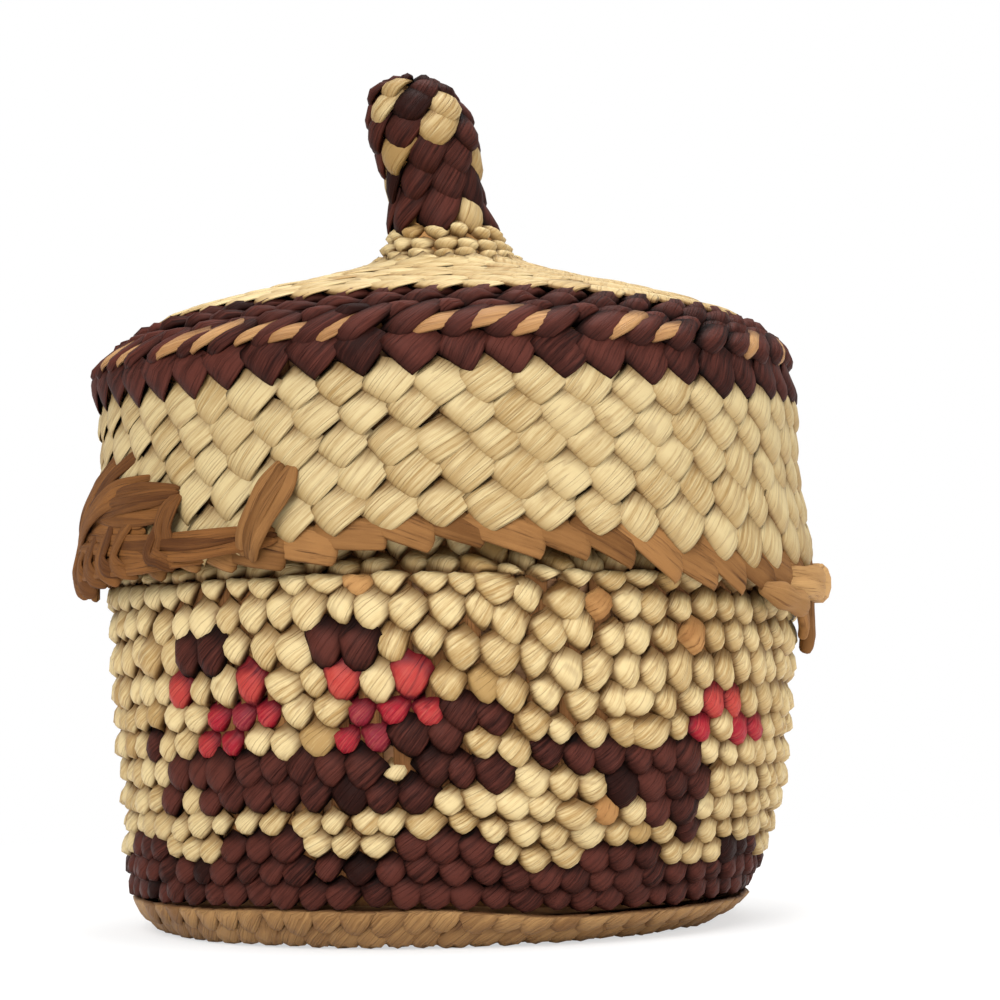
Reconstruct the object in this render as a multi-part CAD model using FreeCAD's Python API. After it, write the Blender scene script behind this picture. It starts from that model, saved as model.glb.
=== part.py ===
import FreeCAD, Part
import math
import os
from FreeCAD import Vector

# Miniature lidded basket in wrapped twining.
# Flat cedar-bark wefts lie round the inside, upright cedar-bark warps stand outside them, and
# a flexible strand of natural, dark-dyed or red-dyed grass wraps every crossing, so that each
# crossing shows outside as one slanted, pillow-shaped stitch. The dark and red stitches draw a
# paddled canoe and a whale over a dark band of sea, once on the front and once on the back.
# The lid's skirt drops over a neck that stands inside it, and its hem hangs outside the wall.
# Millimetres, +Z up, -Y to the front. The origin is the middle of the foot's flat underside.

# Driving dimensions of the basket
body_radius = 25.0
shoulder_height = 25.2
neck_height = 6.8
foot_width = 2.4
foot_height = 2.4
base_rise = 0.4
base_course_thickness = 0.7
base_window_radius = 6.4
mat_width = 16.4
mat_strip_thickness = 0.5
mat_strip_gap = 0.8
wall_threads = 68

# Driving dimensions of the lid
skirt_overhang = 0.4
hem_flare = 1.0
hem_drop = 0.5
skirt_height = 16.1
top_rise = 6.4
knob_height = 14.2
knob_waist_radius = 3.7
knob_head_radius = 4.2
knob_lean = 2.2
knob_core_radius = 2.4
core_depth = 2.6
lid_threads = 48
dark_top_threads = 30
pale_top_threads = 22
knob_threads = 10

# Thicknesses of the layers and how far a stitch swells
skin_thickness = 0.8
pillow = 0.42
weft_thickness = 0.45
warp_thickness = 0.35
bark_thickness = 0.5
warp_width = 1.7
lid_warp_width = 2.2
mend_thickness = 0.25
ply_width = 0.5
repair_band_width = 2.0
lashing_width = 1.5
frayed_strip_width = 1.0

# Clearances
layer_gap = 0.1
seam_gap = 0.04
seat_gap = 0.3
neck_gap = 0.3
core_gap = 0.2

# Hand-made unevenness: how far the courses drop on the right, how far the hem waves, and how
# far the base has moved to the left
slump = 1.9
hem_wave = 1.5
base_skew = 1.0

full_turn = 2 * math.pi
fine_facets = 28
coarse_facets = 24

# Depths of the bark under the crowns of the stitches. The lid's stitches are wider and wave
# more, so its bark lies deeper under them.
warp_depth = skin_thickness + layer_gap
weft_depth = warp_depth + warp_thickness + 2 * layer_gap
wall_depth = weft_depth + weft_thickness
lid_warp_depth = skin_thickness + 3 * layer_gap
lid_weft_depth = lid_warp_depth + warp_thickness + layer_gap
lid_wall_depth = lid_weft_depth + weft_thickness

# The lid drops over the neck, and its hem hangs outside the wall
lid_radius = body_radius + skirt_overhang
hem_radius = lid_radius + hem_flare
hem_height = shoulder_height - hem_drop
lid_shoulder_height = hem_height + skirt_height
lid_crown_height = lid_shoulder_height + top_rise
knob_top_height = lid_crown_height + knob_height
lid_inner_radius = lid_radius - lid_wall_depth
neck_radius = lid_inner_radius * math.cos(math.pi / coarse_facets) - neck_gap
rim_height = shoulder_height + neck_height

# Outline of the wall over the crowns of its stitches, as shares of the shoulder's height and
# of the body's radius
wall_outline_shares = (
    (0.0, 0.80), (0.05, 0.855), (0.1, 0.895), (0.18, 0.925),
    (0.35, 0.958), (0.57, 0.984), (0.8, 1.0), (0.985, 1.0),
)
# Heights of the seams between the courses, as shares of the shoulder's height
wall_seam_shares = (
    0.1, 0.163, 0.228, 0.29, 0.355, 0.426, 0.503, 0.578, 0.651, 0.736, 0.831, 0.92, 0.996,
)
# Where the slump comes to its full depth, and where it has faded out, in the same shares
slump_full_share = 0.7
slump_end_share = 1.0

# Outline of the lid's skirt over its crowns: shares of its height, and of the way out from
# the lid's radius to the hem's
skirt_outline_shares = (
    (0.0, 1.0), (0.1, 1.0), (0.26, 0.62), (0.4, 0.2), (0.53, 0.05), (0.77, 0.0),
    (0.89, -0.05), (1.0, -0.5),
)
skirt_seam_shares = (0.0, 0.093, 0.261, 0.404, 0.531, 0.655, 0.773, 0.888, 1.0)
# Outline of the lid's top: shares of its radius, and of the rise from the shoulder to the knob
top_outline_shares = (
    (0.98, 0.0), (0.957, 0.13), (0.9, 0.27), (0.81, 0.41), (0.717, 0.55),
    (0.59, 0.7), (0.465, 0.83), (0.315, 0.96), (0.28, 1.0),
)
dark_top_seam_shares = (0.963, 0.866, 0.76)
pale_top_seam_shares = (0.757, 0.65, 0.54, 0.41, 0.29)
# Outline of the knob: shares of its height, and radii as shares of the waist's in its stem
# and of the head's above
knob_stem_shares = ((0.0, 1.9), (0.06, 1.5), (0.12, 1.27), (0.24, 1.08), (0.37, 1.0), (0.48, 1.02))
knob_head_shares = ((0.6, 0.99), (0.7, 1.0), (0.8, 0.94), (0.9, 0.78), (0.97, 0.44), (1.0, 0.2))
knob_seam_shares = (0.1, 0.235, 0.37, 0.5, 0.63, 0.76, 0.89, 1.0)
collar_shares = (0.03, 0.08)
core_shares = ((0.0, 1.0), (0.8, 1.0), (0.9, 0.75), (0.96, 0.3))


# Shared helpers

def between(stations, place):
    """The value that a table of (place, value) stations has at a place, straight in between."""
    for low, high in zip(stations, stations[1:]):
        if place <= high[0]:
            part = max(place - low[0], 0.0) / (high[0] - low[0])
            return low[1] + part * (high[1] - low[1])
    return stations[-1][1]


def smooth_step(low, high, value):
    """Rises from 0 at low to 1 at high, level at both ends."""
    part = min(max((value - low) / (high - low), 0.0), 1.0)
    return part * part * (3 - 2 * part)


def round_point(radius, angle, height):
    """A point at an angle counted from the front, positive to the right."""
    return Vector(radius * math.sin(angle), -radius * math.cos(angle), height)


def closed_solids(points, triangles):
    """Solids from triangles that share their numbered points, sewn into closed shells."""
    surface = Part.Shape()
    surface.makeShapeFromMesh((points, triangles), seam_gap / 10, True)
    return [Part.makeSolid(shell) for shell in surface.Shells]


def save(name, solids):
    Part.makeCompound(solids).exportStep("parts/" + name + ".step")


def lathe_band(outline, facets, centre=None):
    """A many-sided turned form: a closed outline of (radius, height) points carried round.

    An outline that starts and ends on the axis makes a full body, with one point at each
    pole. centre(height) may lean the axis sideways."""
    points = []
    rings = []
    for radius, height in outline:
        shift = centre(height) if centre else Vector(0, 0, 0)
        first = len(points)
        count = facets if radius else 1
        for facet in range(count):
            angle = full_turn * (facet + 0.5) / facets
            points.append(round_point(radius, angle, height) + shift)
        rings.append([first + facet % count for facet in range(facets)])
    triangles = []
    for low, high in zip(rings, rings[1:] + rings[:1]):
        for facet in range(facets):
            right = (facet + 1) % facets
            for triangle in ((low[facet], low[right], high[right]),
                             (low[facet], high[right], high[facet])):
                if len(set(triangle)) == 3:
                    triangles.append(triangle)
    return closed_solids(points, triangles)


def bent_strip(path, sides, thickness, width):
    """A flat strip along a path. sides[i] is the direction across the strip at path[i]."""
    points = []
    for number, place in enumerate(path):
        before = path[max(number - 1, 0)]
        after = path[min(number + 1, len(path) - 1)]
        along = (after - before).normalize()
        across = Vector(sides[number]).normalize()
        out = across.cross(along).normalize()
        for turn_across, turn_out in ((-1, -1), (1, -1), (1, 1), (-1, 1)):
            points.append(place + across * (turn_across * width / 2)
                          + out * (turn_out * thickness / 2))
    triangles = [(0, 2, 1), (0, 3, 2)]
    for ring in range(len(path) - 1):
        low = 4 * ring
        for corner in range(4):
            following = (corner + 1) % 4
            triangles.append((low + corner, low + following, low + 4 + following))
            triangles.append((low + corner, low + 4 + following, low + 4 + corner))
    last = 4 * (len(path) - 1)
    triangles.append((last, last + 1, last + 2))
    triangles.append((last, last + 2, last + 3))
    return closed_solids(points, triangles)


def woven_skin(stitches, threads, seam, back, crown):
    """Closed solids over a set of stitches, each a pillow of four faces that meet at a crown.

    A stitch (course, thread) lies between the seams course and course + 1. seam(course,
    thread) and back(course, thread) are its lower left corner outside and inside, and
    crown(course, thread) is its highest point. Where another colour begins, the corners draw
    in by the seam's gap, so that neighbours of two colours stay apart. The upper edge of a
    colour thins out to nothing, as a stitch tucks under the course above it."""
    points = []
    numbers = {}
    crowns = {stitch: crown(*stitch) for stitch in stitches}

    def joined_round_corner(course, thread, stitch):
        """The stitches of this colour that meet at a corner and touch this one edge to edge."""
        ring = [(course, thread % threads), (course, (thread - 1) % threads),
                (course - 1, (thread - 1) % threads), (course - 1, thread % threads)]
        start = ring.index(stitch)
        group = {stitch}
        for way in (1, -1):
            for step in range(1, 4):
                neighbour = ring[(start + way * step) % 4]
                if neighbour not in stitches:
                    break
                group.add(neighbour)
        return frozenset(group)

    def corner_number(course, thread, stitch, place):
        group = joined_round_corner(course, thread, stitch)
        if not any(member[0] == course for member in group):
            place = seam
        key = (course, thread % threads, group, place)
        if key not in numbers:
            point = place(course, thread)
            if len(group) < 4:
                middle = Vector(0, 0, 0)
                for member in group:
                    middle = middle + crowns[member]
                inward = middle * (1 / len(group)) - point
                point = point + inward.normalize() * seam_gap
            numbers[key] = len(points)
            points.append(point)
        return numbers[key]

    triangles = []
    for course, thread in sorted(stitches):
        stitch = (course, thread)
        round_it = ((course, thread), (course, thread + 1),
                    (course + 1, thread + 1), (course + 1, thread))
        front = [corner_number(*corner, stitch, seam) for corner in round_it]
        rear = [corner_number(*corner, stitch, back) for corner in round_it]
        beside = ((course - 1, thread), (course, (thread + 1) % threads),
                  (course + 1, thread), (course, (thread - 1) % threads))
        top = len(points)
        points.append(crowns[stitch])
        for edge in range(4):
            following = (edge + 1) % 4
            triangles.append((front[edge], front[following], top))
            if beside[edge] in stitches:
                continue
            if front[edge] != rear[edge]:
                triangles.append((front[following], front[edge], rear[edge]))
            if front[following] != rear[following]:
                triangles.append((front[following], rear[edge], rear[following]))
        triangles.append((rear[0], rear[2], rear[1]))
        triangles.append((rear[0], rear[3], rear[2]))
    return closed_solids(points, triangles)


# The wall's outline and courses

shoulder_drop = body_radius - neck_radius
wall_outline = [(share * shoulder_height, radius_share * body_radius)
                for share, radius_share in wall_outline_shares]
neck_foot_height = shoulder_height + shoulder_drop / 2
wall_outline.append((neck_foot_height, neck_radius))
wall_outline.append((rim_height, neck_radius))
foot_radius = wall_outline[0][1]


def wall_radius(height):
    return between(wall_outline, height)


skew_end_share = 0.4
skew_end_height = skew_end_share * shoulder_height


def wall_centre(height):
    """The wall's axis leans to the left towards the foot, so one corner of it is rounder."""
    return Vector(-base_skew * max(1 - height / skew_end_height, 0.0), 0, 0)


def course_drop(angle, height):
    """How far the courses sag on the right-hand side, where the weaver's rows ran down."""
    degrees = math.degrees(angle + math.pi) % 360 - 180
    round_share = smooth_step(-5, 24, degrees) - smooth_step(100, 170, degrees)
    share = height / shoulder_height
    rising = math.sqrt(min(share / slump_full_share, 1.0))
    fading = 1 - smooth_step(slump_full_share, slump_end_share, share)
    return slump * round_share * rising * fading


def wall_lattice(depth):
    """Lattice points of the wall at a depth under the crowns: (course, thread) to a point."""
    def place(course, thread):
        angle = full_turn * (thread + course / 2) / wall_threads
        height = wall_seam_shares[0] * shoulder_height
        if course > 0:
            height = wall_seam_shares[course] * shoulder_height
            height -= course_drop(angle, height)
        return round_point(wall_radius(height) - depth, angle, height) + wall_centre(height)
    return place


def wall_crown(course, thread):
    angle = full_turn * (thread + course / 2 + 0.75) / wall_threads
    low = wall_seam_shares[course] * shoulder_height
    high = wall_seam_shares[course + 1] * shoulder_height
    height = (low + high) / 2
    height -= course_drop(angle, height)
    return round_point(wall_radius(height), angle, height) + wall_centre(height)


# The pattern: runs of stitches as (course, first thread, how many), counted from the front
# centre. Course 0 is the lowest dark one. The whole pattern stands twice round the wall.
pattern_repeat = wall_threads // 2
crest_threads = [(2, -14, 3), (2, -8, 3), (2, -2, 3), (2, 4, 3), (2, 10, 3)]
canoe_threads = [(4, -11, 1), (4, -9, 8), (5, -11, 8), (5, -2, 3), (6, -12, 1),
                 (6, -2, 2), (7, -1, 2)]
head_threads = [(9, -10, 2), (9, -5, 2)]
paddler_threads = [(8, -10, 1), (8, -8, 1), (8, -5, 1), (8, -3, 1), (7, -9, 3), (7, -4, 3),
                   (6, -9, 2), (6, -4, 2)]
whale_threads = [(6, 2, 6), (5, 4, 4), (4, 6, 2), (3, 7, 1)]
float_threads = [(8, 7, 2), (7, 7, 1), (7, 9, 2)]
cedar_threads = [(11, -4, 1), (11, 3, 1), (10, 7, 1), (4, 4, 1)]


def stitches_of(runs):
    """The stitches of some runs and of their repeat on the other side.

    A lattice column leans half a thread to the right with each course, so a stitch that is
    counted from the front centre lies half as many columns to the left as its course says."""
    found = set()
    for course, first, count in runs:
        for step in range(count):
            for turned in (0, pattern_repeat):
                thread = first + step + turned - course // 2
                found.add((course, thread % wall_threads))
    return found


all_wall_stitches = {(course, thread) for course in range(len(wall_seam_shares) - 1)
                     for thread in range(wall_threads)}
sea_courses = 2
sea = {stitch for stitch in all_wall_stitches if stitch[0] < sea_courses} | stitches_of(crest_threads)
coloured_nodes = {
    "sea_stitches": sea,
    "canoe_stitches": stitches_of(canoe_threads),
    "paddler_head_stitches": stitches_of(head_threads),
    "paddler_stitches": stitches_of(paddler_threads),
    "whale_stitches": stitches_of(whale_threads),
    "float_stitches": stitches_of(float_threads),
    "cedar_stitches": stitches_of(cedar_threads),
}


def make_wall_stitches():
    natural = set(all_wall_stitches)
    layers = (wall_lattice(pillow), wall_lattice(skin_thickness), wall_crown)
    for name, stitches in coloured_nodes.items():
        natural -= stitches
        save(name, woven_skin(stitches, wall_threads, *layers))
    save("wall_natural_stitches", woven_skin(natural, wall_threads, *layers))


# The wall's bark: upright warps behind the stitches and flat wefts inside them

base_top = base_rise + base_course_thickness


def layer_outline(outside, inside, heights):
    """A thin wall's closed outline: up the outside at some heights and down the inside."""
    up = [(wall_radius(height) - outside, height) for height in heights]
    down = [(wall_radius(height) - inside, height) for height in reversed(heights)]
    return up + down


def make_wall_bark():
    warp_heights = [foot_height + layer_gap, skew_end_height, shoulder_height - shoulder_drop]
    heights = warp_heights + [neck_foot_height, rim_height - layer_gap]
    wefts = layer_outline(weft_depth, wall_depth, heights)
    save("wall_wefts", lathe_band(wefts, fine_facets, wall_centre))
    warps = []
    for thread in range(0, wall_threads, 2):
        angle = full_turn * (thread + 0.5) / wall_threads
        across = round_point(1, angle + full_turn / 4, 0)
        path = []
        for height in warp_heights:
            radius = wall_radius(height) - warp_depth - warp_thickness / 2
            path.append(round_point(radius, angle, height) + wall_centre(height))
        warps += bent_strip(path, [across] * len(path), warp_thickness, warp_width)
    save("wall_warps", warps)


def make_neck():
    """Three plain beads cover the shoulder and the neck, and a roll binds the rim."""
    beads = 2
    binding_height = 2 * weft_thickness
    high = rim_height - binding_height - layer_gap
    bead_height = (high - neck_foot_height) / beads
    middle = (shoulder_height + neck_foot_height) / 2
    outline = [(wall_radius(shoulder_height) - pillow, shoulder_height),
               (wall_radius(middle), middle)]
    for bead in range(beads):
        low = neck_foot_height + bead * bead_height
        outline.append((neck_radius - pillow, low))
        outline.append((neck_radius, low + bead_height / 2))
    outline.append((neck_radius - pillow, high))
    outline.append((neck_radius - skin_thickness, high))
    outline.append((neck_radius - skin_thickness, neck_foot_height))
    outline.append((wall_radius(shoulder_height) - skin_thickness, shoulder_height))
    save("neck_courses", lathe_band(outline, fine_facets))
    low = rim_height - binding_height
    bound = [(neck_radius - skin_thickness, low), (neck_radius - pillow, low),
             (neck_radius, low + binding_height / 2), (neck_radius - pillow, rim_height),
             (neck_radius - skin_thickness, rim_height)]
    save("rim_binding", lathe_band(bound, fine_facets))


def make_base():
    """A plaited mat in the middle, twined rings round it, and the course that it stands on."""
    foot_inside = wall_radius(foot_height) - wall_depth
    foot = [(foot_radius - foot_width, 0), (foot_radius, 0),
            (wall_radius(foot_height / 2), foot_height / 2),
            (wall_radius(foot_height) - pillow, foot_height),
            (foot_inside, foot_height), (foot_radius - foot_width, base_top)]
    save("foot_course", lathe_band(foot, fine_facets, wall_centre))
    outer = foot_radius - foot_width - 2 * layer_gap
    rings = 2
    ring_width = (outer - base_window_radius) / rings
    outline = []
    for ring in range(rings):
        inner = base_window_radius + ring * ring_width
        outline.append((inner, base_rise + pillow / 2))
        outline.append((inner + ring_width / 2, base_rise))
    outline.append((outer, base_rise + pillow / 2))
    outline.append((outer, base_top))
    outline.append((base_window_radius, base_top))
    save("base_courses", lathe_band(outline, coarse_facets, wall_centre))


def make_mat():
    """Strips of bark plaited over and under each other, seen through the base's window."""
    strips = 4
    spacing = mat_width / strips
    strip_width = spacing - mat_strip_gap
    step = mat_strip_thickness + layer_gap
    middle = base_top + layer_gap + mat_strip_thickness + layer_gap / 2
    for name, turned in (("base_mat_strips_across", 0), ("base_mat_strips_along", 1)):
        plaits = []
        for strip in range(strips):
            side = (strip - (strips - 1) / 2) * spacing
            path = []
            for crossing in range(strips):
                over = 1 if (strip + crossing + turned) % 2 else -1
                height = middle + over * step / 2
                for edge in (-1, 1):
                    run = (crossing - (strips - 1) / 2) * spacing + edge * strip_width / 2
                    place = Vector(run, side, height) if turned else Vector(side, run, height)
                    path.append(place + wall_centre(height))
            across = Vector(0, 1, 0) if turned else Vector(1, 0, 0)
            plaits += bent_strip(path, [across] * len(path), mat_strip_thickness, strip_width)
        save(name, plaits)


# The lid's skirt

skirt_outline = [(hem_height + share * skirt_height,
                  lid_radius + out_share * (hem_radius - lid_radius))
                 for share, out_share in skirt_outline_shares]
wave_at_shoulder_share = 0.27
waves_round = 3


def skirt_wave(angle, height):
    """The courses wave three times round, most at the hem, and stand high at the front."""
    share = min(max((height - hem_height) / skirt_height, 0.0), 1.0)
    size = wave_at_shoulder_share + (1 - wave_at_shoulder_share) * (1 - share) ** 2
    return hem_wave * size * math.cos(waves_round * angle)


def skirt_layers(slant):
    """The skirt's lattices, whose columns lean by a slant, in threads, with each course."""
    def at_depth(depth):
        def place(course, thread):
            angle = full_turn * (thread + course * slant) / lid_threads
            height = hem_height + skirt_seam_shares[course] * skirt_height
            return round_point(between(skirt_outline, height) - depth, angle,
                               height + skirt_wave(angle, height))
        return place

    def crown(course, thread):
        angle = full_turn * (thread + course * slant + (1 + slant) / 2) / lid_threads
        height = hem_height + skirt_height * (skirt_seam_shares[course]
                                              + skirt_seam_shares[course + 1]) / 2
        return round_point(between(skirt_outline, height), angle,
                           height + skirt_wave(angle, height))
    return at_depth(pillow), at_depth(skin_thickness), crown


def make_skirt():
    """The grass stitches lean to the right, and the bark strips of the hem to the left."""
    courses = {
        "hem_bark_strips": (0,),
        "lid_natural_stitches": (1, 2, 3, 4, 5),
        "lid_dark_stitches": (6,),
        "shoulder_twist": (7,),
    }
    for name, rows in courses.items():
        slant = -0.5 if name == "hem_bark_strips" else 0.5
        stitches = {(course, thread) for course in rows for thread in range(lid_threads)}
        save(name, woven_skin(stitches, lid_threads, *skirt_layers(slant)))


def make_tan_plies():
    """The light ply of the shoulder's two-ply border, where it comes up between dark ones."""
    course = len(skirt_seam_shares) - 2
    low = hem_height + skirt_seam_shares[course] * skirt_height
    ply_length = lid_shoulder_height - low
    plies = []
    for thread in range(0, lid_threads, 2):
        angle = full_turn * (thread + course / 2 + 0.25) / lid_threads
        height = (low + lid_shoulder_height) / 2
        radius = between(skirt_outline, height) + layer_gap + mend_thickness / 2
        middle = round_point(radius, angle, height + skirt_wave(angle, height))
        sideways = round_point(1, angle + full_turn / 4, 0)
        lean = (Vector(0, 0, 1) + sideways).normalize()
        across = (Vector(0, 0, 1) - sideways).normalize()
        path = [middle - lean * (ply_length / 2), middle + lean * (ply_length / 2)]
        plies += bent_strip(path, [across] * 2, mend_thickness, ply_width)
    save("shoulder_tan_plies", plies)


# The mended hem: a bark band and a lashing on the left, knots and a loose tail on the right

def skirt_strip(stations, thickness, width, upright=False):
    """A strip just off the skirt, through stations of (degrees, share of height, lift).

    The lift is how far it stands off the skirt, as a share of the bark's thickness."""
    path = []
    sides = []
    for degrees, share, lift in stations:
        angle = math.radians(degrees)
        height = hem_height + share * skirt_height
        radius = between(skirt_outline, height) + layer_gap + thickness / 2 + lift * bark_thickness
        path.append(round_point(radius, angle, height + skirt_wave(angle, height)))
        sides.append(Vector(0, 0, 1) if upright else round_point(1, angle + full_turn / 4, 0))
    return bent_strip(path, sides, thickness, width)


repair_degrees = (-76, -67, -58, -49, -40, -31)
lashing_degrees = -28.5
lashing_shares = ((0.4, 0.6), (0.26, 0.6), (0.1, 0.4), (0.02, 0.4))
loop_degrees = (-64, -71, -78)
loop_shares = ((0.21, 1.0), (0.12, 1.5), (0.02, 1.0), (-0.07, 0.5))
knot_degrees = 84
knot_shares = (0.1, 0.0)
knot_bend_shares = ((0.03, 0.0), (0.012, 1.0), (-0.012, 1.0), (-0.03, 0.0))
tail_degrees = 79
tail_shares = ((0.02, 0.6), (-0.12, 0.4), (-0.25, 0.4))


def make_mends():
    course_share = (skirt_seam_shares[1] + skirt_seam_shares[2]) / 2
    band = [(degrees, course_share, 0.0) for degrees in repair_degrees]
    save("hem_repair_band", skirt_strip(band, mend_thickness, repair_band_width, True))
    strap = [(lashing_degrees, share, lift) for share, lift in lashing_shares]
    save("hem_lashing", skirt_strip(strap, mend_thickness, lashing_width))
    loops = []
    for degrees in loop_degrees:
        loop = [(degrees, share, lift) for share, lift in loop_shares]
        loops += skirt_strip(loop, mend_thickness, frayed_strip_width)
    save("frayed_bark_loops", loops)
    knots = []
    for middle in knot_shares:
        knot = [(knot_degrees, middle + share, lift) for share, lift in knot_bend_shares]
        knots += skirt_strip(knot, mend_thickness, lashing_width)
    save("hem_knots", knots)
    tail = [(tail_degrees, share, lift) for share, lift in tail_shares]
    save("hanging_bark_tail", skirt_strip(tail, mend_thickness, frayed_strip_width))


# The lid's top

top_outline = [(radius_share * lid_radius, lid_shoulder_height + share * top_rise)
               for radius_share, share in reversed(top_outline_shares)]


def top_height(radius):
    return between(top_outline, radius)


def top_layers(seam_shares, threads):
    """The lattices of a ring of courses that lie on the lid's top, from outside to inside."""
    def at_depth(depth):
        def place(course, thread):
            angle = full_turn * (thread + course / 2) / threads
            radius = seam_shares[course] * lid_radius
            return round_point(radius, angle, top_height(radius) - depth)
        return place

    def crown(course, thread):
        angle = full_turn * (thread + course / 2 + 0.75) / threads
        radius = (seam_shares[course] + seam_shares[course + 1]) / 2 * lid_radius
        return round_point(radius, angle, top_height(radius))
    return at_depth(pillow), at_depth(skin_thickness), crown


def make_lid_top():
    tops = (
        ("top_dark_courses", dark_top_seam_shares, dark_top_threads),
        ("top_natural_courses", pale_top_seam_shares, pale_top_threads),
    )
    for name, seam_shares, threads in tops:
        stitches = {(course, thread) for course in range(len(seam_shares) - 1)
                    for thread in range(threads)}
        save(name, woven_skin(stitches, threads, *top_layers(seam_shares, threads)))


def shoulder_height_at(radius):
    """The height of the body's sloping shoulder at a radius."""
    low_radius, low_height = wall_outline[-3][1], wall_outline[-3][0]
    part = (low_radius - radius) / (low_radius - neck_radius)
    return low_height + part * (neck_foot_height - low_height)


hem_inner_radius = (hem_radius - lid_wall_depth) * math.cos(math.pi / coarse_facets)
lid_seat_height = shoulder_height_at(hem_inner_radius) + seat_gap


def make_lid_bark():
    """The lid's wefts are one bark shell that rests on the body's shoulder, with the lid's
    warps round its upright part."""
    under = skin_thickness + 2 * layer_gap
    flare_height = hem_height + skirt_seam_shares[3] * skirt_height
    edge_height = lid_shoulder_height - 2 * skin_thickness
    skirt = [(hem_radius, lid_seat_height),
             (between(skirt_outline, flare_height), flare_height), (lid_radius, edge_height)]
    outer = [(radius - lid_weft_depth, height) for radius, height in skirt]
    for share in (dark_top_seam_shares[0], dark_top_seam_shares[-1], pale_top_seam_shares[-1]):
        radius = share * lid_radius - weft_depth
        outer.append((radius, top_height(radius) - under - layer_gap))
    centre = knob_core_radius + core_gap
    outer.append((centre, lid_crown_height - under))
    inner = [(centre, lid_crown_height - under - weft_thickness)]
    radius = dark_top_seam_shares[-1] * lid_radius - weft_depth
    inner.append((radius, top_height(radius) - under - layer_gap - weft_thickness))
    inner += [(radius - lid_wall_depth, height) for radius, height in reversed(skirt)]
    save("lid_wefts", lathe_band(outer + inner, coarse_facets))
    warps = []
    for thread in range(0, lid_threads, 3):
        angle = full_turn * (thread + 0.5) / lid_threads
        across = round_point(1, angle + full_turn / 4, 0)
        path = [round_point(radius - lid_warp_depth - warp_thickness / 2, angle, height)
                for radius, height in skirt]
        warps += bent_strip(path, [across] * len(path), warp_thickness, lid_warp_width)
    save("lid_warps", warps)


# The knob

knob_foot_height = lid_crown_height
knob_outline = [(knob_foot_height + share * knob_height, radius_share * radius)
                for radius, shares in ((knob_waist_radius, knob_stem_shares),
                                       (knob_head_radius, knob_head_shares))
                for share, radius_share in shares]
lean_start_share = 0.15


def knob_centre(height):
    """The knob leans to the left above its foot."""
    share = (height - knob_foot_height) / knob_height
    part = max(share - lean_start_share, 0.0) / (1 - lean_start_share)
    return Vector(-knob_lean * part, 0, 0)


def knob_layers():
    def at_depth(depth):
        def place(course, thread):
            angle = full_turn * (thread + course / 2) / knob_threads
            height = knob_foot_height + knob_seam_shares[course] * knob_height
            return round_point(between(knob_outline, height) - depth, angle,
                               height) + knob_centre(height)
        return place

    def crown(course, thread):
        angle = full_turn * (thread + course / 2 + 0.75) / knob_threads
        share = (knob_seam_shares[course] + knob_seam_shares[course + 1]) / 2
        height = knob_foot_height + share * knob_height
        return round_point(between(knob_outline, height), angle, height) + knob_centre(height)
    return at_depth(pillow), at_depth(skin_thickness), crown


def make_knob():
    every = {(course, thread) for course in range(len(knob_seam_shares) - 1)
             for thread in range(knob_threads)}
    pale = {(6, 6), (5, 6), (5, 9), (4, 7), (4, 9), (3, 7), (3, 9),
            (0, 0), (0, 1), (0, 4), (0, 6), (0, 9)}
    save("knob_natural_stitches", woven_skin(pale, knob_threads, *knob_layers()))
    save("knob_dark_stitches", woven_skin(every - pale, knob_threads, *knob_layers()))
    edge = pale_top_seam_shares[-1] * lid_radius - layer_gap
    sleeve = knob_core_radius + core_gap
    low = lid_crown_height - skin_thickness
    collar = [(edge, top_height(edge) - pillow)]
    for share in collar_shares:
        height = knob_foot_height + share * knob_height
        collar.append((between(knob_outline, height), height))
    collar.append((sleeve, collar[-1][1]))
    collar.append((sleeve, low))
    collar.append((edge, top_height(edge) - skin_thickness))
    save("knob_collar", lathe_band(collar, coarse_facets))
    core = [(0, lid_crown_height - core_depth), (knob_core_radius, lid_crown_height - core_depth)]
    for share, size_share in core_shares:
        core.append((size_share * knob_core_radius, knob_foot_height + share * knob_height))
    core.append((0, core[-1][1] + core_gap))
    save("knob_core", lathe_band(core, knob_threads, knob_centre))


os.makedirs("parts", exist_ok=True)
make_wall_stitches()
make_wall_bark()
make_neck()
make_base()
make_mat()
make_skirt()
make_tan_plies()
make_mends()
make_lid_top()
make_lid_bark()
make_knob()
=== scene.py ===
# %% [markdown]
# # A miniature lidded basket in wrapped twining
# A basket that fits between two fingers. Bark strips make its frame, and a flexible strand of
# grass wraps every crossing, so the outside is covered with slanted, pillow-shaped stitches.
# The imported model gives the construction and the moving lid. This script dresses it: every
# stitch, strip and knot becomes its own small surface in the place where the model has it.
# Where it departs from the model by up to a millimetre or so, the photograph asked for it.

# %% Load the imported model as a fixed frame
import math

import bpy
import numpy as np
from mathutils import Matrix, Vector


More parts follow.
